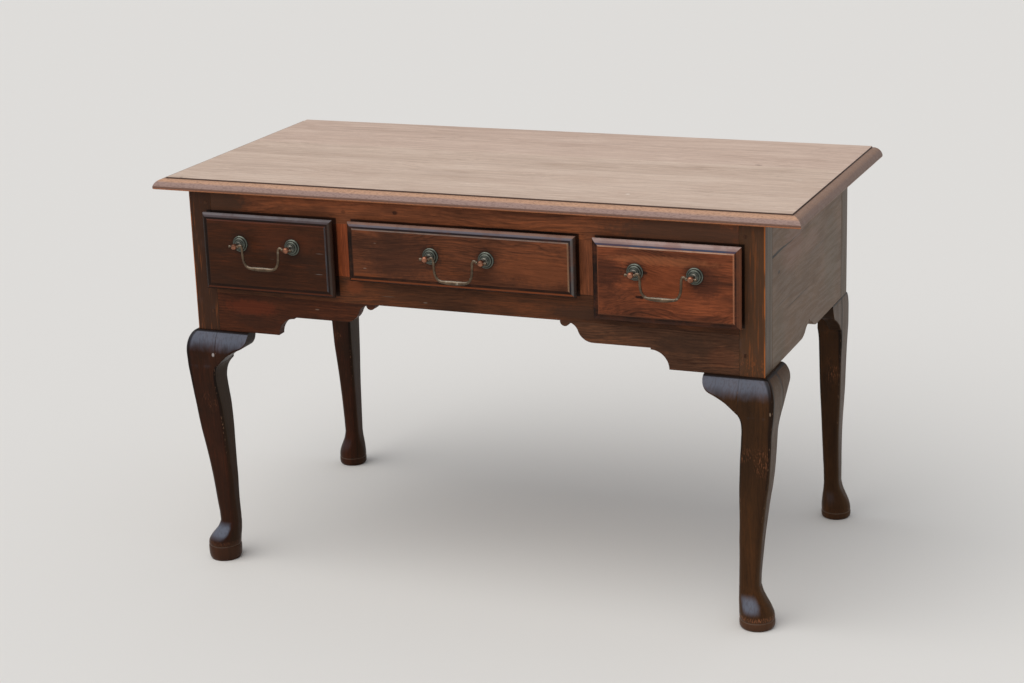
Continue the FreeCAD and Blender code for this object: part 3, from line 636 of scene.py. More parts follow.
# Oak. Colours as read on a screen, 0 to 255. Each kind of figure has the length and width of its
# patches in mm and how far it lightens or darkens the wood.
oakLooks = {
    "top": {
        "dark": (172, 147, 129), "main": (202, 178, 160), "pale": (222, 200, 182),
        "stain": (184, 154, 136), "bands": (1500, 45, 0.32), "clouds": (300, 90, 0.12),
        "streaks": (320, 8, 0.2), "fibres": (80, 2.6, 0.45), "lines": (7, 0.25), "wave": 9,
        "pores": 0.35, "patches": 0.15, "flecks": 0.0, "roughness": 0.5, "specular": 0.3,
    },
    "front": {
        "dark": (46, 25, 15), "main": (76, 43, 27), "pale": (120, 64, 36), "stain": (44, 30, 23),
        "bands": (900, 30, 0.18), "clouds": (150, 60, 0.32), "streaks": (160, 5, 0.20),
        "fibres": (45, 2, 0.3), "lines": (5, 0.25), "wave": 8, "pores": 0.5, "patches": 0.35,
        "flecks": 0.15, "roughness": 0.42, "specular": 0.08,
    },
    "leg": {
        "dark": (37, 23, 12), "main": (61, 38, 20), "pale": (86, 52, 26), "stain": (36, 25, 15),
        "bands": (600, 20, 0.15), "clouds": (140, 50, 0.3), "streaks": (150, 4, 0.18),
        "fibres": (40, 1.8, 0.16), "lines": (5, 0.1), "wave": 4, "pores": 0.4, "patches": 0.3,
        "flecks": 0.1, "roughness": 0.33, "specular": 0.08,
    },
    # side panels: paler and greyer than the front, partly their own faded tone and partly a painted sheen
    "side": {
        "dark": (86, 65, 46), "main": (106, 81, 59), "pale": (128, 98, 72), "stain": (88, 70, 54),
        "bands": (900, 60, 0.06), "clouds": (120, 70, 0.32), "streaks": (90, 6, 0.07),
        "fibres": (9, 1.3, 0.24), "lines": (6, 0.04), "wave": 7, "pores": 0.4, "patches": 0.2,
        "flecks": 0.0, "roughness": 0.5, "specular": 0.3,
    },
    "inside": {
        "dark": (118, 90, 66), "main": (152, 121, 90), "pale": (178, 148, 114), "stain": (112, 86, 64),
        "bands": (900, 40, 0.18), "clouds": (200, 80, 0.25), "streaks": (200, 6, 0.16),
        "fibres": (50, 1.8, 0.2), "lines": (5, 0.22), "wave": 9, "pores": 0.5, "patches": 0.25,
        "flecks": 0.0, "roughness": 0.75, "specular": 0.2,
    },
}

# What all oak has alike. Figures are length and width in mm, a number that moves the pattern,
# detail and roughness. "heart" is the middle of the tree, in m from the board.
oakGrain = {
    "wander": (380, 110), "heart": (0.21, -0.33), "ringWave": (90, 25, 5.0), "waveDepth": 0.004,
    "clearRings": (200, 60, 6.0), "stains": (130, 45, 7.0, 3.0, 0.6), "pores": (14, 0.8, 8.0),
    "poreShade": 0.6, "flecks": (16, 2.6, 9.0), "fleckPatches": (110, 70, 10.0),
    "streakGloss": (0.05, -0.04), "stainGloss": 0.1, "relief": 0.4, "reliefDepth": 0.0003,
}


def growthLines(look, place, bent):
    # dark lines round a heart that lies outside the board, clearer here and there
    gap, depth = look["lines"]
    across = split(bent)
    heartY, heartZ = oakGrain["heart"]
    fromHeart = combine(x=plus(across[1], heartY), y=plus(across[2], heartZ))
    wave = times(figure(place, *oakGrain["ringWave"]), oakGrain["waveDepth"])
    radius = plus(vectorCalc("LENGTH", fromHeart), wave)
    ring = calc("FRACT", times(radius, 1 / (gap * mm)))
    ring = times(spread(ring, 0.35, 0.85), spread(ring, 1.0, 0.86))
    return times(ring, patches(place, oakGrain["clearRings"], -0.15, 0.35, 0.1, 1.0), depth)


def oakFinish(name, look, along="x", shift=(0, 0, 0), marks=None, **changes):
    look, grain = {**look, **changes}, oakGrain
    material, at = startFinish(name)
    parts = split(at)
    x, y, z = (parts[n] for n in {"x": (0, 1, 2), "y": (1, 0, 2), "z": (2, 0, 1)}[along])
    turned = combine(x=x, y=y, z=z)
    place = put("ShaderNodeMapping", {"Vector": turned, "Location": shift}).outputs[0]

    # the grain wanders a little across the board
    wander = times(figure(place, *grain["wander"]), look["wave"] * 2 * mm)
    bent = vectorCalc("ADD", place, combine(y=wander, z=wander))
    bands = figure(bent, *look["bands"][:2], 1.0)
    clouds = figure(place, *look["clouds"][:2], 4.0, 3.0, 0.55)
    streaks = figure(bent, *look["streaks"][:2], 2.0, 3.0, 0.6)
    fibres = figure(bent, *look["fibres"][:2], 3.0, 2.0, 0.6)
    tone = plus(times(bands, look["bands"][2]), 0.5)
    for value, kind in ((clouds, "clouds"), (streaks, "streaks"), (fibres, "fibres")):
        tone = plus(tone, times(value, look[kind][2]))
    tone = less(tone, growthLines(look, place, bent), clamp=True)

    ramp = put("ShaderNodeValToRGB", {0: tone})
    stops = ramp.color_ramp.elements
    stops[0].position, stops[0].color = 0.0, (*light(look["dark"]), 1)
    stops[1].position, stops[1].color = 1.0, (*light(look["pale"]), 1)
    stops.new(0.5).color = (*light(look["main"]), 1)

    stains = times(patches(place, grain["stains"], 0.0, 0.4), look["patches"])
    colour = tint(stains, ramp.outputs[0], look["stain"])
    pores = times(patches(bent, grain["pores"], 0.12, 0.42), look["pores"])
    colour = tint(times(pores, grain["poreShade"]), colour, look["dark"], depth=0.5)
    if look["flecks"]:
        flecks = patches(place, grain["flecks"], 0.2, 0.42)
        gathered = patches(place, grain["fleckPatches"], 0.0, 0.25)
        colour = tint(times(flecks, gathered, look["flecks"]), colour, look["pale"])
    if marks:
        colour = marks(at, parts, place, colour)

    dull, bright = (look["roughness"] + step for step in grain["streakGloss"])
    rough = spread(streaks, -0.4, 0.4, dull, bright)
    rough = plus(rough, times(stains, grain["stainGloss"]), clamp=True)
    relief = plus(times(streaks, 0.5), times(fibres, 0.4))
    relief = less(relief, times(pores, 0.4))
    wires = {"Base Color": colour, "Roughness": rough, "Specular IOR Level": look["specular"]}
    endFinish(relief, grain["relief"], grain["reliefDepth"], wires)
    return material


def dress(piece, finish):
    piece.data.materials.clear()
    piece.data.materials.append(finish)


# Top: a faded field, a dark line in the quirk that is partly dirt and partly painted shadow, and a
# moulded edge that kept more colour. The edge has painted light and shade on it: lighter where it faces
# up, darker on the near-upright rim. Lengths in mm. "upperFrom" and "rimFrom" say how far upward a face
# looks where a shade begins and is full.
topEdge = {
    "run": 19.5, "soft": 0.3, "steep": (150, 123, 114), "wear": (120, 8, 13.0), "raggedDepth": 0.08,
    "upper": (190, 148, 120), "upperFrom": (0.66, 0.88), "rim": (112, 80, 66), "rimFrom": (0.34, 0.12),
    "low": (176, 110, 70), "lowFrom": 3.2, "lowFull": 1.4, "side": (122, 98, 84), "sideStrength": 0.75,
    "mitre": 0.5, "dust": (78, 56, 50), "dustFigure": (6, 1.3, 12.0, 3.0, 0.65), "dustStrength": 0.42,
    "line": (62, 42, 36), "lineWidth": 1.3, "linePast": 0.5, "lineSoft": 0.35, "lineStrength": 0.85,
}
topChanges = {
    "top_board_front": {},
    "top_board_back": {"dark": (168, 141, 124), "main": (198, 172, 155), "pale": (218, 194, 176)},
}
# Single marks: where they are (x and y, or x and z, in mm), half widths in mm, colour, strength
topSpots = (
    ((279, -194), (4, 2.5), (236, 226, 214), 0.9), ((430, 82), (8, 4), (104, 76, 62), 0.7),
    ((531, -20), (9, 3), (220, 206, 192), 0.5), ((-560, -262), (3, 3), (60, 44, 38), 0.8),
    ((-250, 180), (26, 5), (150, 118, 100), 0.35),
)


def topMarks(at, parts, place, colour):
    edge = topEdge
    run, soft, mitre = edge["run"] * mm, edge["soft"] * mm, edge["mitre"] * mm
    fromEnds = less(topSide, calc("ABSOLUTE", parts[0]))
    fromFront = less(parts[1], topFront)
    fromEdge = calc("MINIMUM", fromEnds, fromFront)
    # painted light and shade on the moulded edge by how far each face looks up; the figure named wear
    # only makes their edges ragged
    worn = times(figure(place, *edge["wear"]), edge["raggedDepth"])
    up = plus(split(facing(at))[2], worn)
    band = tint(spread(up, *edge["upperFrom"]), edge["steep"], edge["upper"])
    band = tint(spread(up, *edge["rimFrom"]), band, edge["rim"])
    low = spread(less(parts[2], caseTop), edge["lowFrom"] * mm, edge["lowFull"] * mm)
    band = tint(low, band, edge["low"])
    toSide = spread(less(fromEnds, fromFront), mitre, -mitre)
    band = tint(times(toSide, edge["sideStrength"]), band, edge["side"])
    dust = patches(place, edge["dustFigure"], 0.1, -0.4, 0.0, edge["dustStrength"])
    band = tint(dust, band, edge["dust"])
    colour = tint(spread(fromEdge, run + soft, run - soft), colour, band)
    # dark line in the quirk: partly dirt, partly painted shadow
    lineStart, lineEnd = run - edge["lineWidth"] * mm, run + edge["linePast"] * mm
    line = between(fromEdge, lineStart, lineEnd, edge["lineSoft"] * mm)
    colour = tint(times(line, edge["lineStrength"]), colour, edge["line"])
    return spots(at, colour, topSpots, level=caseTop)


# Drawer fronts. Spots are dark clouds, knots and scars. Lips have four bands on each side, each with its
# own shade, from the outer edge inwards. These bands are mostly painted light and shade on the moulding:
# a painted highlight on the rim, painted shadow in the groove, and darker bands on the lower and
# left-hand sides. The orange line along the bottom lips is real wear.
drawerFronts = {
    "left": {
        "look": {
            "main": (60, 33, 19), "pale": (95, 47, 26), "clouds": (150, 60, 0.34), "lines": (3, 0.15),
            "wave": 5,
        },
        "spots": (
            ((-270, 622), (8, 0.7), (104, 92, 86), 0.6), ((-273, 584), (9, 0.8), (110, 102, 98), 0.6),
            ((-366, 606), (5, 0.8), (84, 64, 54), 0.5), ((-330, 640), (70, 26), (84, 44, 27), 0.35),
        ),
        "top": ((108, 103, 106), (80, 72, 75), (24, 18, 17), (96, 57, 44)),
        "right": ((54, 38, 30), (66, 58, 53), (28, 22, 21), (84, 82, 85)),
        "bottom": ((28, 18, 13), (84, 42, 24), (34, 20, 14), (44, 27, 19)),
        "left": ((34, 23, 18), (30, 20, 16), (22, 15, 12), (56, 35, 26)),
    },
    "middle": {
        "look": {
            "main": (94, 54, 35), "pale": (135, 75, 45), "clouds": (120, 50, 0.3),
            "lines": (2.4, 0.22), "wave": 7,
        },
        "spots": (
            ((-110, 628), (80, 50), (52, 33, 25), 0.5), ((204, 576), (20, 3.5), (176, 104, 64), 0.7),
            ((-190, 586), (40, 7), (134, 70, 36), 0.4), ((150, 620), (90, 30), (128, 70, 40), 0.3),
            ((-181, 602), (4, 1), (140, 124, 112), 0.5), ((-159, 649), (3, 1), (128, 108, 96), 0.45),
        ),
        "top": ((128, 101, 90), (98, 94, 102), (30, 27, 30), (132, 112, 102)),
        "right": ((50, 42, 38), (90, 87, 85), (36, 33, 35), (152, 118, 92)),
        "bottom": ((30, 19, 13), (122, 63, 33), (36, 21, 14), (48, 28, 19)),
        "left": ((24, 16, 13), (26, 17, 13), (22, 15, 12), (66, 40, 28)),
    },
    "right": {
        "look": {
            "main": (115, 61, 38), "pale": (162, 87, 52), "lines": (3.4, 0.3), "wave": 16, "patches": 0.4,
        },
        "spots": (
            ((372, 652), (105, 9), (158, 96, 62), 0.4), ((370, 612), (60, 40), (134, 68, 38), 0.35),
            ((268, 626), (40, 28), (54, 31, 23), 0.6), ((447, 616), (28, 30), (62, 35, 26), 0.55),
            ((332, 587), (10, 3.2), (22, 13, 10), 0.9), ((340, 630), (7, 3), (34, 20, 15), 0.8),
            ((262, 694), (3, 3), (50, 46, 50), 0.8), ((420, 560), (60, 4), (76, 41, 28), 0.4),
        ),
        "top": ((164, 142, 136), (148, 128, 126), (60, 70, 92), (190, 152, 128)),
        "right": ((104, 64, 45), (88, 55, 39), (40, 27, 23), (182, 122, 90)),
        "bottom": ((60, 36, 26), (52, 32, 24), (34, 22, 17), (96, 58, 40)),
        "left": ((26, 18, 15), (26, 18, 15), (24, 16, 13), (112, 66, 44)),
    },
}
# Where the four bands of a lip end, in mm inwards; "mitre" is where one side's bands meet the next
lip = {
    "ends": (3.0, 6.6, 10.2, 12.3), "soft": 0.5, "cover": 0.95, "mitreFrom": 0.6, "mitreFull": 0.1,
    "wear": (30, 30, 14.0, 3.0, 0.6), "leastShown": 0.7,
}
# Old dirt round the rosettes, and painted shade on the case behind the lips, where they overhang it
dirtAndShade = {
    "colour": (36, 26, 22), "radius": 23, "strength": 0.5, "rag": 0.2, "shadeBehindLips": (15, 10, 8),
    "lipStrength": 0.9, "soft": 1.2, "deepFrom": 1.5, "deepFull": 0.8,
}


# painted light and shade on the lips of the drawer fronts, band by band, each side lit or shaded in its
# own way
def lipBands(at, parts, colour, low, high, setting):
    inward = {
        "left": less(parts[0], low.x), "right": less(high.x, parts[0]), "bottom": less(parts[2], low.z),
        "top": less(high.z, parts[2]),
    }
    nearest = calc("MINIMUM", inward["left"], inward["right"])
    nearest = calc("MINIMUM", nearest, calc("MINIMUM", inward["bottom"], inward["top"]))
    soft, last = lip["soft"] * mm, lip["ends"][3] * mm
    # the figure named wear only breaks up the painted light and shade of the bands along the lip
    uneven = patches(at, lip["wear"], -0.4, 0.3, lip["leastShown"], 1.0)
    for side, away in inward.items():
        band = setting[side][0]
        for end, shade in zip(lip["ends"], setting[side][1:]):
            band = tint(spread(away, end * mm - soft, end * mm + soft), band, shade)
        mitre = spread(less(away, nearest), lip["mitreFrom"] * mm, lip["mitreFull"] * mm)
        shown = times(mitre, lip["cover"], spread(away, last + soft, last - soft), uneven)
        colour = tint(shown, colour, band)
    return colour


def frontMarks(drawer):
    low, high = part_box(f"drawer_{drawer}_front")
    setting = drawerFronts[drawer]
    size = (dirtAndShade["radius"], dirtAndShade["radius"])

    def marks(at, parts, place, colour):
        colour = spots(at, colour, setting["spots"])
        for x, y, z in handlePlaces(drawer):
            darkening = (((x / mm, z / mm), size, dirtAndShade["colour"], dirtAndShade["strength"]),)
            colour = spots(at, colour, darkening, dirtAndShade["rag"])
        return lipBands(at, parts, colour, low, high, setting)
    return marks


def shadeBehindLips(parts, colour):
    # painted shade on the case behind the edges of the drawer fronts, which stand out over it
    soft = dirtAndShade["soft"] * mm
    for drawer in drawerFronts:
        low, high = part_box(f"drawer_{drawer}_front")
        wide = between(parts[0], low.x - soft, high.x + soft, soft)
        tall = between(parts[2], low.z - soft, high.z + soft, soft)
        onFace = spread(parts[1], caseFront + dirtAndShade["deepFrom"] * mm, caseFront + dirtAndShade["deepFull"] * mm)
        darkening = times(wide, tall, onFace, dirtAndShade["lipStrength"])
        colour = tint(darkening, colour, dirtAndShade["shadeBehindLips"])
    return colour


# Case pieces: how each differs from the plain front, its knots and stains, and on the top rail a painted
# shadow line over the middle drawer
casePieces = {
    "top_rail": {
        "look": {
            "dark": (76, 44, 28), "main": (119, 69, 44), "pale": (160, 90, 54), "clouds": (110, 30, 0.4),
        },
        "spots": (
            ((-128, 700), (6, 4), (48, 27, 19), 0.8), ((-230, 696), (5, 4), (62, 37, 26), 0.5),
            ((400, 697), (150, 30), (78, 54, 41), 0.8), ((-480, 700), (62, 30), (66, 47, 36), 0.8),
            # painted shadow in the gap along the top of the middle drawer's right half
            ((110, 682.5), (130, 2.2), (14, 9, 8), 0.95),
        ),
    },
    "divider_left": {
        "look": {"dark": (90, 44, 26), "main": (138, 70, 40), "pale": (184, 96, 53)}, "spots": (),
    },
    "divider_right": {
        "look": {"dark": (72, 41, 27), "main": (114, 66, 43), "pale": (154, 88, 54)}, "spots": (),
    },
    "long_rail": {
        "look": {"main": (79, 48, 31), "pale": (116, 64, 37)},
        "spots": (
            ((-215, 560), (20, 16), (124, 62, 34), 0.4), ((215, 545), (60, 14), (60, 41, 31), 0.6),
            ((-77, 540), (4, 1.2), (126, 112, 100), 0.5), ((-150, 546), (14, 1), (104, 86, 74), 0.4),
        ),
    },
    "apron_left": {
        "look": {"main": (72, 38, 23), "pale": (104, 54, 30)},
        "spots": (
            ((-430, 505), (60, 16), (104, 46, 26), 0.5), ((-300, 480), (60, 20), (48, 29, 20), 0.6),
            ((-293, 511), (5, 1.2), (132, 114, 100), 0.5),
        ),
    },
    "apron_right": {
        "look": {"main": (80, 53, 38), "pale": (120, 74, 48)},
        "spots": (((400, 500), (60, 22), (56, 38, 28), 0.6), ((470, 485), (30, 20), (110, 62, 40), 0.2)),
    },
    "joint_pegs": {"look": {"main": (76, 50, 35), "pale": (96, 62, 41)}, "spots": ()},
}


def caseMarks(name):
    def marks(at, parts, place, colour):
        return shadeBehindLips(parts, spots(at, colour, casePieces[name]["spots"]))
    return marks


# Side panels: clouds, knots and fine lines, in mm along y and up z, dust, and a long crack
# near the top
sideSpots = (
    ((-90, 640), (80, 45), (124, 88, 70), 0.5), ((-190, 500), (50, 80), (88, 76, 58), 0.45),
    ((170, 560), (60, 110), (90, 78, 60), 0.45), ((-184, 618), (8, 4), (44, 35, 30), 0.85),
    ((30, 622), (60, 26), (122, 92, 74), 0.5), ((-60, 541), (95, 1.3), (52, 42, 35), 0.75),
    ((120, 600), (120, 1.4), (70, 58, 49), 0.5), ((-150, 560), (60, 1.2), (58, 47, 39), 0.6),
    ((60, 690), (150, 1.3), (66, 54, 46), 0.5),
)
sideDust = {"colour": (70, 58, 49), "grains": 420, "from": 0.62, "full": 0.72, "strength": 0.35}
sideCrack = {
    "from": -232, "to": -46, "height": 653.5, "drop": 2.5, "width": 2.3, "colour": (26, 20, 17),
    "wander": (110, 200, 15.0, 3.0, 0.6), "edgeOut": 0.5, "edgeIn": -0.2,
}


def sideMarks(at, parts, place, colour):
    throughPanel, rag = 2, 0.2  # marks both side panels alike
    for (y, z), (wideY, wideZ), shade, strength in sideSpots:
        there = spot(at, (0, y * mm, z * mm), (throughPanel, wideY * mm, wideZ * mm), rag)
        colour = tint(times(there, strength), colour, shade)
    grains = noise(at, (sideDust["grains"],) * 3, (5, 5, 5), 2.0, 0.6)
    dust = spread(grains, sideDust["from"], sideDust["full"], 0.0, sideDust["strength"])
    colour = tint(dust, colour, sideDust["colour"])
    crack = sideCrack
    wander = times(figure(place, *crack["wander"]), crack["drop"] * mm)
    height = calc("ABSOLUTE", less(plus(parts[2], wander), crack["height"] * mm))
    along = spread(parts[1], crack["to"] * mm, crack["from"] * mm)
    outside = less(height, times(along, crack["width"] * mm))
    gape = spread(outside, crack["edgeOut"] * mm, crack["edgeIn"] * mm)
    return tint(gape, colour, crack["colour"])


# Legs: posts keep a lighter brown, and faces to the side are greyer with a painted sheen. The sheen fades
# towards the floor and is darker on the left legs as painted shade. Arrises are dark with pale chips.
# Some shades differ between the right and the left legs. Heights from the floor are in m and end in
# "Height" or "Heights"; the rest is in mm.
legAreas = {
    "sideways": (0.45, 0.9), "forward": (-0.4, -0.85), "postEdge": 0.3, "frontLeg": (0.1, -0.1),
    "outer": (30, 22),
}
paintedSideSheen = {"right": (80, 57, 33), "left": (52, 40, 25), "heights": (0.1, 0.36), "onEars": 0.55}
postTones = {
    "front": {"right": (82, 56, 39), "left": (64, 42, 30)}, "cover": 0.75, "streak": (126, 72, 39),
    "streaks": (90, 3, 21.0, 3.0, 0.65), "streakPatches": (110, 16, 27.0, 2.0, 0.6),
    "side": (83, 66, 47), "sideCover": 0.85, "split": (38, 30, 24),
    "fineSplits": (150, 3, 26.0, 2.0, 0.6), "splitsAt": (9, 27), "splitWidth": 2.6, "splitSoft": 1.2,
    "splitStrength": 0.55, "splitBreaks": (60, 20), "splitWander": (90, 90, 28.0, 3.0, 0.6),
    "wander": 1.6,
}
cornerTones = {
    "colour": (166, 94, 46), "wear": (80, 30, 25.0), "sideFrom": 2.6, "sideFull": 1.2, "frontFrom": 1.6,
    "frontFull": 0.6, "mottle": (7, 2.5, 29.0, 3.0, 0.65), "mottleHeights": (0.458, 0.488),
    "mottleStrength": 0.55,
}
footTones = {
    "colour": (88, 60, 45), "cover": {"right": 0.52, "left": 0.25}, "coverFrom": 12.0,
    "coverFull": -1.0, "rub": (156, 98, 66), "rubCover": {"right": 1.0, "left": 0.3},
    "rubAt": (2.0, 9.0), "rubStrength": 0.75, "rubFlecks": (8, 1.3, 22.0, 2.0, 0.6),
    "kneeRubHeights": (0.29, 0.33), "kneeRub": 0.6, "kneeRubPatches": (60, 30, 23.0),
    "instep": (16.0, 41.0), "instepSheen": 1.1, "sheenHeights": (0.15, 0.2), "scribe": (120, 102, 88),
    "scribeAt": (-1.2, 0.4), "scribeStrength": 0.45,
}
arrisTones = {
    "colour": (18, 12, 9), "strength": 0.8, "reach": 3.0, "kneeReach": 5.0, "chip": (140, 104, 80),
    "darkHeights": (0.19, 0.36), "kneeHeights": (0.3, 0.42), "gluedHeights": (0.385, 0.4),
    "gluedShare": 0.4, "chips": (7, 2.6, 24.0, 2.0, 0.6), "chipStrength": 0.6, "chipWidth": 2.6,
    "chipFull": 1.4, "chipHeight": 0.2, "chipEnd": 10,
}
legSpots = (((-505.5, 413), (3, 4), (168, 160, 158), 0.8), ((557, 399), (1.5, 4), (150, 128, 108), 0.6))
# Painted grey sheen, standing in for the reflection of a bright sky, on what faces up and forward toward
# the light
paintedSheenLook = {
    "colour": (105, 112, 127), "strength": 0.64, "from": (-0.2, -0.7, 0.69), "near": (0.7, 0.92),
    "level": (0.72, 0.95),
    "uneven": (22, 14, 31.0, 2.0, 0.5), "unevenDepth": 0.05, "scratches": (30, 3, 32.0, 2.0, 0.5),
}
# Painted shadow in the angle between the knees and the case
shadowUnderCase = {"colour": (20, 14, 12), "depth": 3, "soft": 0.6, "strength": 0.85}
sawnEnd = {"colour": (40, 28, 22), "strength": 0.8}


def paintedSheen(place, colour, share=1.0):
    normal = facing(place)
    toward = vectorCalc("DOT_PRODUCT", normal, paintedSheenLook["from"])
    uneven = times(figure(place, *paintedSheenLook["uneven"]), paintedSheenLook["unevenDepth"])
    there = spread(plus(toward, uneven), *paintedSheenLook["near"])
    level = spread(split(normal)[2], *paintedSheenLook["level"], 1.0, 0.1)
    scratched = patches(place, paintedSheenLook["scratches"], -0.4, 0.1, 0.8, 1.0)
    there = times(there, level, scratched, share, paintedSheenLook["strength"])
    return tint(there, colour, paintedSheenLook["colour"])


def kneeShadow(height, colour):
    top = caseBottom
    under = between(height, top - shadowUnderCase["depth"] * mm, top, shadowUnderCase["soft"] * mm)
    return tint(times(under, shadowUnderCase["strength"]), colour, shadowUnderCase["colour"])


def legPlaces(parts):
    # masks and measures that the marks on the legs share
    area = legAreas
    x, y, height = parts
    normal = split(facing(x))
    fromMiddle = calc("ABSOLUTE", x)
    postEdge = area["postEdge"] * mm
    outerFrom, outerFull = (caseSide - inside * mm for inside in area["outer"])
    return {
        "sideways": spread(calc("ABSOLUTE", normal[0]), *area["sideways"]),
        "forward": spread(normal[1], *area["forward"]), "height": height,
        "post": spread(height, caseBottom - postEdge, caseBottom + postEdge),
        "frontLeg": spread(y, *area["frontLeg"], 0.2, 1.0),
        "fromMiddle": fromMiddle, "outer": spread(fromMiddle, outerFrom, outerFull),
        "overPad": stored(x, "overPad"), "toArris": stored(x, "toArris"),
    }


def postMarks(on, parts, place, colour, side):
    tones = postTones
    streak = patches(place, tones["streaks"], 0.05, 0.42)
    streak = times(streak, patches(place, tones["streakPatches"], -0.15, 0.25, 0.1, 0.9))
    brown = tint(streak, tones["front"][side], tones["streak"])
    colour = tint(times(on["post"], tones["cover"]), colour, brown)
    # painted grey sheen on faces to the side, fading towards the floor and darker on the left legs as
    # painted shade
    grey = times(on["sideways"], spread(on["height"], *paintedSideSheen["heights"], 0.3, 0.65))
    colour = tint(grey, colour, paintedSideSheen[side])

    # fine splits, and long ones down the side at set distances behind the front
    splits = patches(place, tones["fineSplits"], 0.15, 0.45, 0.0, 0.35)
    wander = times(figure(place, *tones["splitWander"]), tones["wander"] * mm)
    behind = plus(less(parts[1], caseFront), wander)
    for middle in tones["splitsAt"]:
        start, end = (middle - tones["splitWidth"]) * mm, (middle + tones["splitWidth"]) * mm
        gape = between(behind, start, end, tones["splitSoft"] * mm)
        broken = patches(place, (*tones["splitBreaks"], middle), -0.3, 0.1, 0.3, 1.0)
        splits = plus(splits, times(gape, broken, tones["splitStrength"]), clamp=True)
    # the post's faces to the side: a painted grey sheen, with real splits in it
    greyed = tint(splits, tones["side"], tones["split"])
    return tint(times(on["sideways"], on["post"], tones["sideCover"]), colour, greyed)


def footMarks(on, place, colour, side):
    # worn foot, painted sheen on the instep and the knee, flecks rubbed low on the knee and over the
    # scribed line, and a painted highlight along the scribed line
    tones = footTones
    overPad, height = on["overPad"], on["height"]
    flecks = patches(place, tones["rubFlecks"], 0.14, 0.4)
    knee = between(height, *tones["kneeRubHeights"], 0.02)
    knee = times(knee, patches(place, tones["kneeRubPatches"], -0.1, 0.3))
    knee = times(knee, on["forward"], tones["kneeRub"])
    worn = spread(overPad, tones["coverFrom"], tones["coverFull"])
    colour = tint(times(worn, on["frontLeg"], tones["cover"][side]), colour, tones["colour"])
    # painted sheen on the instep and the knee
    instep = times(between(overPad, *tones["instep"], 8.0), on["frontLeg"], tones["instepSheen"])
    colour = paintedSheen(place, colour, plus(instep, spread(height, *tones["sheenHeights"])))
    low = times(between(overPad, *tones["rubAt"], 2.0), on["frontLeg"], tones["rubCover"][side])
    rubbed = times(flecks, plus(knee, low, clamp=True), tones["rubStrength"])
    colour = tint(rubbed, colour, tones["rub"])
    # painted highlight: a paler line along the scribed groove
    scribed = times(between(overPad, *tones["scribeAt"], 0.4), tones["scribeStrength"])
    return tint(scribed, colour, tones["scribe"])


def arrisMarks(on, place, colour):
    # dark arrises, broader on the knee, with pale chips; less dark where an ear is glued on
    tones = arrisTones
    toArris, height, outer = on["toArris"], on["height"], on["outer"]
    reach = times(spread(height, *tones["kneeHeights"], 0.0, tones["kneeReach"]), outer)
    arris = calc("DIVIDE", toArris, plus(reach, tones["reach"]))
    arris = times(spread(arris, 1.2, 0.6), spread(height, *tones["darkHeights"], 0.15, 1.0))
    arris = times(arris, spread(on["post"], 0.9, 0.1))
    glued = times(spread(height, *tones["gluedHeights"]), spread(outer, 0.9, 0.1))
    arris = times(arris, spread(glued, 0.0, 1.0, 1.0, tones["gluedShare"]))
    colour = tint(times(arris, tones["strength"]), colour, tones["colour"])
    chips = patches(place, tones["chips"], 0.32, 0.44)
    chips = times(chips, spread(toArris, tones["chipWidth"], tones["chipFull"]))
    highest = caseBottom - tones["chipEnd"] * mm
    chips = times(chips, on["forward"], between(height, tones["chipHeight"], highest, 0.02))
    return tint(times(chips, tones["chipStrength"]), colour, tones["chip"])


def cornerMarks(on, parts, place, colour):
    # bright outer corner of the post, mottled just over the knee of the right-hand one
    tones = cornerTones
    toSide = less(caseSide, on["fromMiddle"])
    corner = spread(toSide, tones["sideFrom"] * mm, tones["sideFull"] * mm)
    start, full = caseFront + tones["frontFrom"] * mm, caseFront + tones["frontFull"] * mm
    corner = times(corner, spread(parts[1], start, full), on["post"])
    corner = times(corner, patches(place, tones["wear"], -0.3, 0.1, 0.2, 0.9))
    colour = tint(corner, colour, tones["colour"])
    mottle = patches(place, tones["mottle"], 0.0, 0.4)
    mottle = times(mottle, between(on["height"], *tones["mottleHeights"], 0.012))
    mottle = times(mottle, on["forward"], spread(parts[0], -0.1, 0.1))
    return tint(times(mottle, tones["mottleStrength"]), colour, postTones["streak"])


def legMarks(side):
    def marks(at, parts, place, colour):
        on = legPlaces(parts)
        colour = postMarks(on, parts, place, colour, side)
        colour = footMarks(on, place, colour, side)
        colour = arrisMarks(on, place, colour)
        colour = cornerMarks(on, parts, place, colour)
        colour = spots(at, colour, legSpots)
        return shadeBehindLips(parts, kneeShadow(parts[2], colour))
    return marks


def earMarks(across, side):
    # across is the axis the rolled face looks along; the sawn S below it is end grain and darker
    def marks(at, parts, place, colour):
        normal = split(facing(at))
        # ears that face sideways take the legs' painted side sheen
        if across == 0:
            colour = tint(paintedSideSheen["onEars"], colour, paintedSideSheen[side])
        # painted sheen on the rolled face of the ear
        colour = paintedSheen(place, colour)
        sawn = spread(calc("ABSOLUTE", normal[across]), 0.45, 0.2)
        sawn = times(sawn, spread(normal[2], 0.5, 0.2), sawnEnd["strength"])
        colour = tint(sawn, colour, sawnEnd["colour"])
        return kneeShadow(parts[2], colour)
    return marks


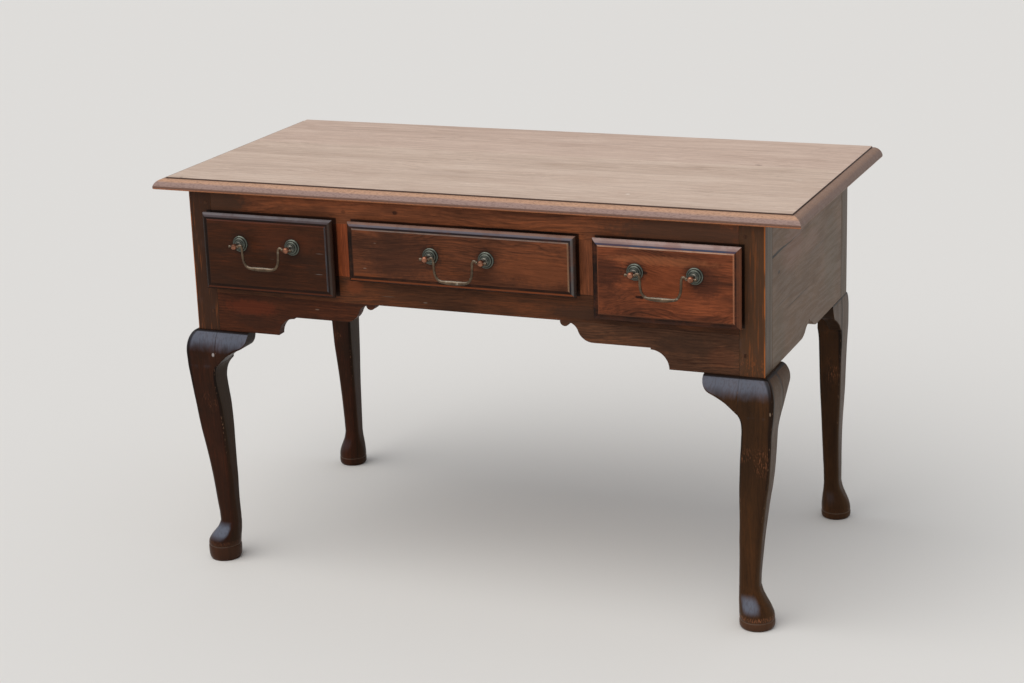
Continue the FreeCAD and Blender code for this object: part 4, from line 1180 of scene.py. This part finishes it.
insideOak = {along: oakFinish("oakInside_" + along, oakLooks["inside"], along) for along in "xy"}
insidePieces = {"runner": "y", "kicker": "y", "glue_blocks": "x", "back_panel": "x"}
for number, (name, piece) in enumerate(nodes.items()):
    if piece.hide_render:
        continue
    shift = (0.37 * number, 0.11 * number, 0.05 * number)  # each board from another part of the log
    wear = "plain"
    if name.startswith("top_board"):
        finish = oakFinish("oak_" + name, oakLooks["top"], "x", shift, topMarks, **topChanges[name])
        wear = "top"
    elif name.startswith("drawer_") and name.endswith("front"):
        place = name.split("_")[1]
        changes = drawerFronts[place]["look"]
        finish = oakFinish("oak_" + name, oakLooks["front"], "x", shift, frontMarks(place), **changes)
        wear = "drawerFront"
    elif name.startswith("drawer_"):
        finish = insideOak["y" if "_side_" in name else "x"]
    elif name.startswith("side_panel"):
        finish = oakFinish("oak_" + name, oakLooks["side"], "y", shift, sideMarks)
        wear = "sidePanel"
    elif name in casePieces:
        along = "z" if name.startswith(("divider", "joint_pegs")) else "x"
        changes = casePieces[name]["look"]
        finish = oakFinish("oak_" + name, oakLooks["front"], along, shift, caseMarks(name), **changes)
        wear = "pegs" if name == "joint_pegs" else "plain"
    else:
        along = next(way for start, way in insidePieces.items() if name.startswith(start))
        finish = insideOak[along]
    dress(piece, finish)
    easeEdges(piece, wear)

legChanges = {"right": {}, "left": {"dark": (30, 16, 10), "main": (49, 26, 15), "pale": (76, 38, 22)}}
legShift, earShift = (0.2, 0.4, 0.1), (0.7, 0.3, 0.1)
for side, changes in legChanges.items():
    legOak = oakFinish("oakLegs_" + side, oakLooks["leg"], "z", legShift, legMarks(side), **changes)
    dress(legs["front", side], legOak)
    dress(legs["back", side], legOak)
    for place, across in (("front", 1), ("side", 0), ("back", 0)):
        name, marks = f"oakEar_{place}_{side}", earMarks(across, side)
        dress(ears[place, side], oakFinish(name, oakLooks["leg"], "z", earShift, marks, **changes))
print("oak dressed")


# Old brass: grey-green rosettes with rings, grey necks and coppery balls, brown bails with a painted
# highlight along their tops. Rings are (start, end) in mm from the middle of a rosette; the copper begins
# in mm in front of the drawer.
brassLooks = {
    "rosette": {
        "dark": (58, 58, 52), "main": (74, 76, 69), "worn": (110, 115, 106), "rub": 0.1,
        "darkRings": ((0, 5.2), (8.2, 9.1), (11.7, 12.7)), "darkStrength": 0.75, "darkDepth": 0.45,
        "wornRings": ((6.4, 7.6), (9.8, 11.2), (13.2, 14.5)), "wornStrength": 0.55, "ringSoft": 0.3,
    },
    "post": {
        "dark": (84, 82, 76), "main": (122, 118, 108), "worn": (168, 162, 148), "rub": 0.2,
        "copper": (158, 106, 82), "copperDark": (98, 66, 50), "copperFrom": 15.5, "copperFull": 18.0,
    },
    "bail": {
        "dark": (82, 67, 53), "main": (106, 89, 71), "worn": (168, 160, 146), "rub": 0.1,
        "topHighlight": 0.6,
    },
}
# What all brass has alike; clouds, rubs and pits per m
brassShared = {
    "clouds": 70, "rubs": 120, "pits": 600, "rubFrom": 0.62, "rubGain": 0.28, "dull": 0.42,
    "bright": 0.3, "metal": 0.85, "relief": 0.1, "reliefDepth": 0.0002,
}


def ringMarks(at, look, colour):
    fromAxis = stored(at, "fromAxis")
    for shade, depth in (("dark", look["darkDepth"]), ("worn", 1.0)):
        for start, end in look[shade + "Rings"]:
            ring = between(fromAxis, start, end, look["ringSoft"])
            colour = tint(times(ring, look[shade + "Strength"]), colour, look[shade], depth)
    return colour


def brassFinish(kind, look):
    brass = brassShared
    material, at = startFinish("brass_" + kind)
    cloud = noise(at, (brass["clouds"],) * 3)
    colour = tint(spread(cloud, 0.35, 0.65), look["dark"], look["main"])
    rub = noise(at, (brass["rubs"],) * 3, (2, 3, 4), 2.0, 0.5)
    start = brass["rubFrom"] - brass["rubGain"] * look["rub"]
    colour = tint(spread(rub, start, start + 0.2), colour, look["worn"])
    if kind == "rosette":
        colour = ringMarks(at, look, colour)
    elif kind == "post":
        copper = tint(spread(cloud, 0.3, 0.6), look["copperDark"], look["copper"])
        ball = spread(stored(at, "reach"), look["copperFrom"], look["copperFull"])
        colour = tint(ball, colour, copper)
    else:
        # painted highlight: the bail is lighter where it faces up
        upward = split(facing(at))[2]
        colour = tint(spread(upward, 0.45, 0.95, 0.0, look["topHighlight"]), colour, look["worn"])
    rough = spread(cloud, 0.3, 0.7, brass["dull"], brass["bright"])
    pits = noise(at, (brass["pits"],) * 3)
    wires = {"Base Color": colour, "Roughness": rough, "Metallic": brass["metal"]}
    endFinish(pits, brass["relief"], brass["reliefDepth"], wires)
    return material


for kind, look in brassLooks.items():
    finish = brassFinish(kind, look)
    for piece in brasses[kind]:
        dress(piece, finish)
print("brass dressed")


# Room: floor, light, camera
room = {
    "floor": (0.75, 0.738, 0.715), "floorHalf": 30, "floorRoughness": 0.9, "floorSpecular": 0.1,
    "sky": (0.94, 0.96, 1.0), "skyStrength": 0.53, "sunStrength": 1.86, "sunSpread": 70,
    "sunFrom": (-0.35, -0.62, 1.0), "sunColour": (1.0, 0.97, 0.93),
}
half = room["floorHalf"]
floorCorners = [(-half, -half, 0), (half, -half, 0), (half, half, 0), (-half, half, 0)]
floorMesh = meshPiece("floor", floorCorners, [(0, 1, 2, 3)])
floorMaterial = bpy.data.materials.new("paleFloor")
floorMaterial.use_nodes = True
floorShader = floorMaterial.node_tree.nodes["Principled BSDF"]
floorShader.inputs["Base Color"].default_value = (*room["floor"], 1)
floorShader.inputs["Roughness"].default_value = room["floorRoughness"]
floorShader.inputs["Specular IOR Level"].default_value = room["floorSpecular"]
dress(floorMesh, floorMaterial)

world = bpy.data.worlds.new("room")
bpy.context.scene.world = world
world.use_nodes = True
backgroundNode = world.node_tree.nodes["Background"]
backgroundNode.inputs["Color"].default_value = (*room["sky"], 1)
backgroundNode.inputs["Strength"].default_value = room["skyStrength"]

lamp = bpy.data.lights.new("softWindow", "SUN")
lamp.energy = room["sunStrength"]
lamp.angle = math.radians(room["sunSpread"])
lamp.color = room["sunColour"]
lampHolder = bpy.data.objects.new("softWindow", lamp)
lampHolder.rotation_euler = Vector(room["sunFrom"]).to_track_quat("Z", "Y").to_euler()
bpy.context.scene.collection.objects.link(lampHolder)

# Camera: turns in radians; its place in m from the middle of the case's front, at floor level
shot = {
    "focalPixels": 2186.096, "imageWidth": 1024, "sensor": 36, "farthest": 200,
    "roll": -0.03458, "pitch": 0.29115, "yaw": 0.39827, "place": (1.50477, -3.37139, 1.57828),
}
cameraData = bpy.data.cameras.new("shot")
cameraData.sensor_width = shot["sensor"]
cameraData.lens = shot["focalPixels"] * shot["sensor"] / shot["imageWidth"]
cameraData.clip_end = shot["farthest"]
camera = bpy.data.objects.new("shot", cameraData)
level = Vector((math.cos(shot["yaw"]), math.sin(shot["yaw"]), 0))
ahead = Vector((-math.sin(shot["yaw"]), math.cos(shot["yaw"]), 0))
forward = ahead * math.cos(shot["pitch"]) - Vector((0, 0, math.sin(shot["pitch"])))
upright = level.cross(forward)
right = level * math.cos(shot["roll"]) + upright * math.sin(shot["roll"])
up = upright * math.cos(shot["roll"]) - level * math.sin(shot["roll"])
turn = camera.matrix_world.to_3x3()
turn.col[0], turn.col[1], turn.col[2] = right, up, -forward
camera.rotation_euler = turn.to_euler()
camera.location = (shot["place"][0], shot["place"][1] + caseFront, shot["place"][2])
bpy.context.scene.collection.objects.link(camera)
bpy.context.scene.camera = camera
bpy.context.scene.view_settings.view_transform = "Standard"
print("room set")
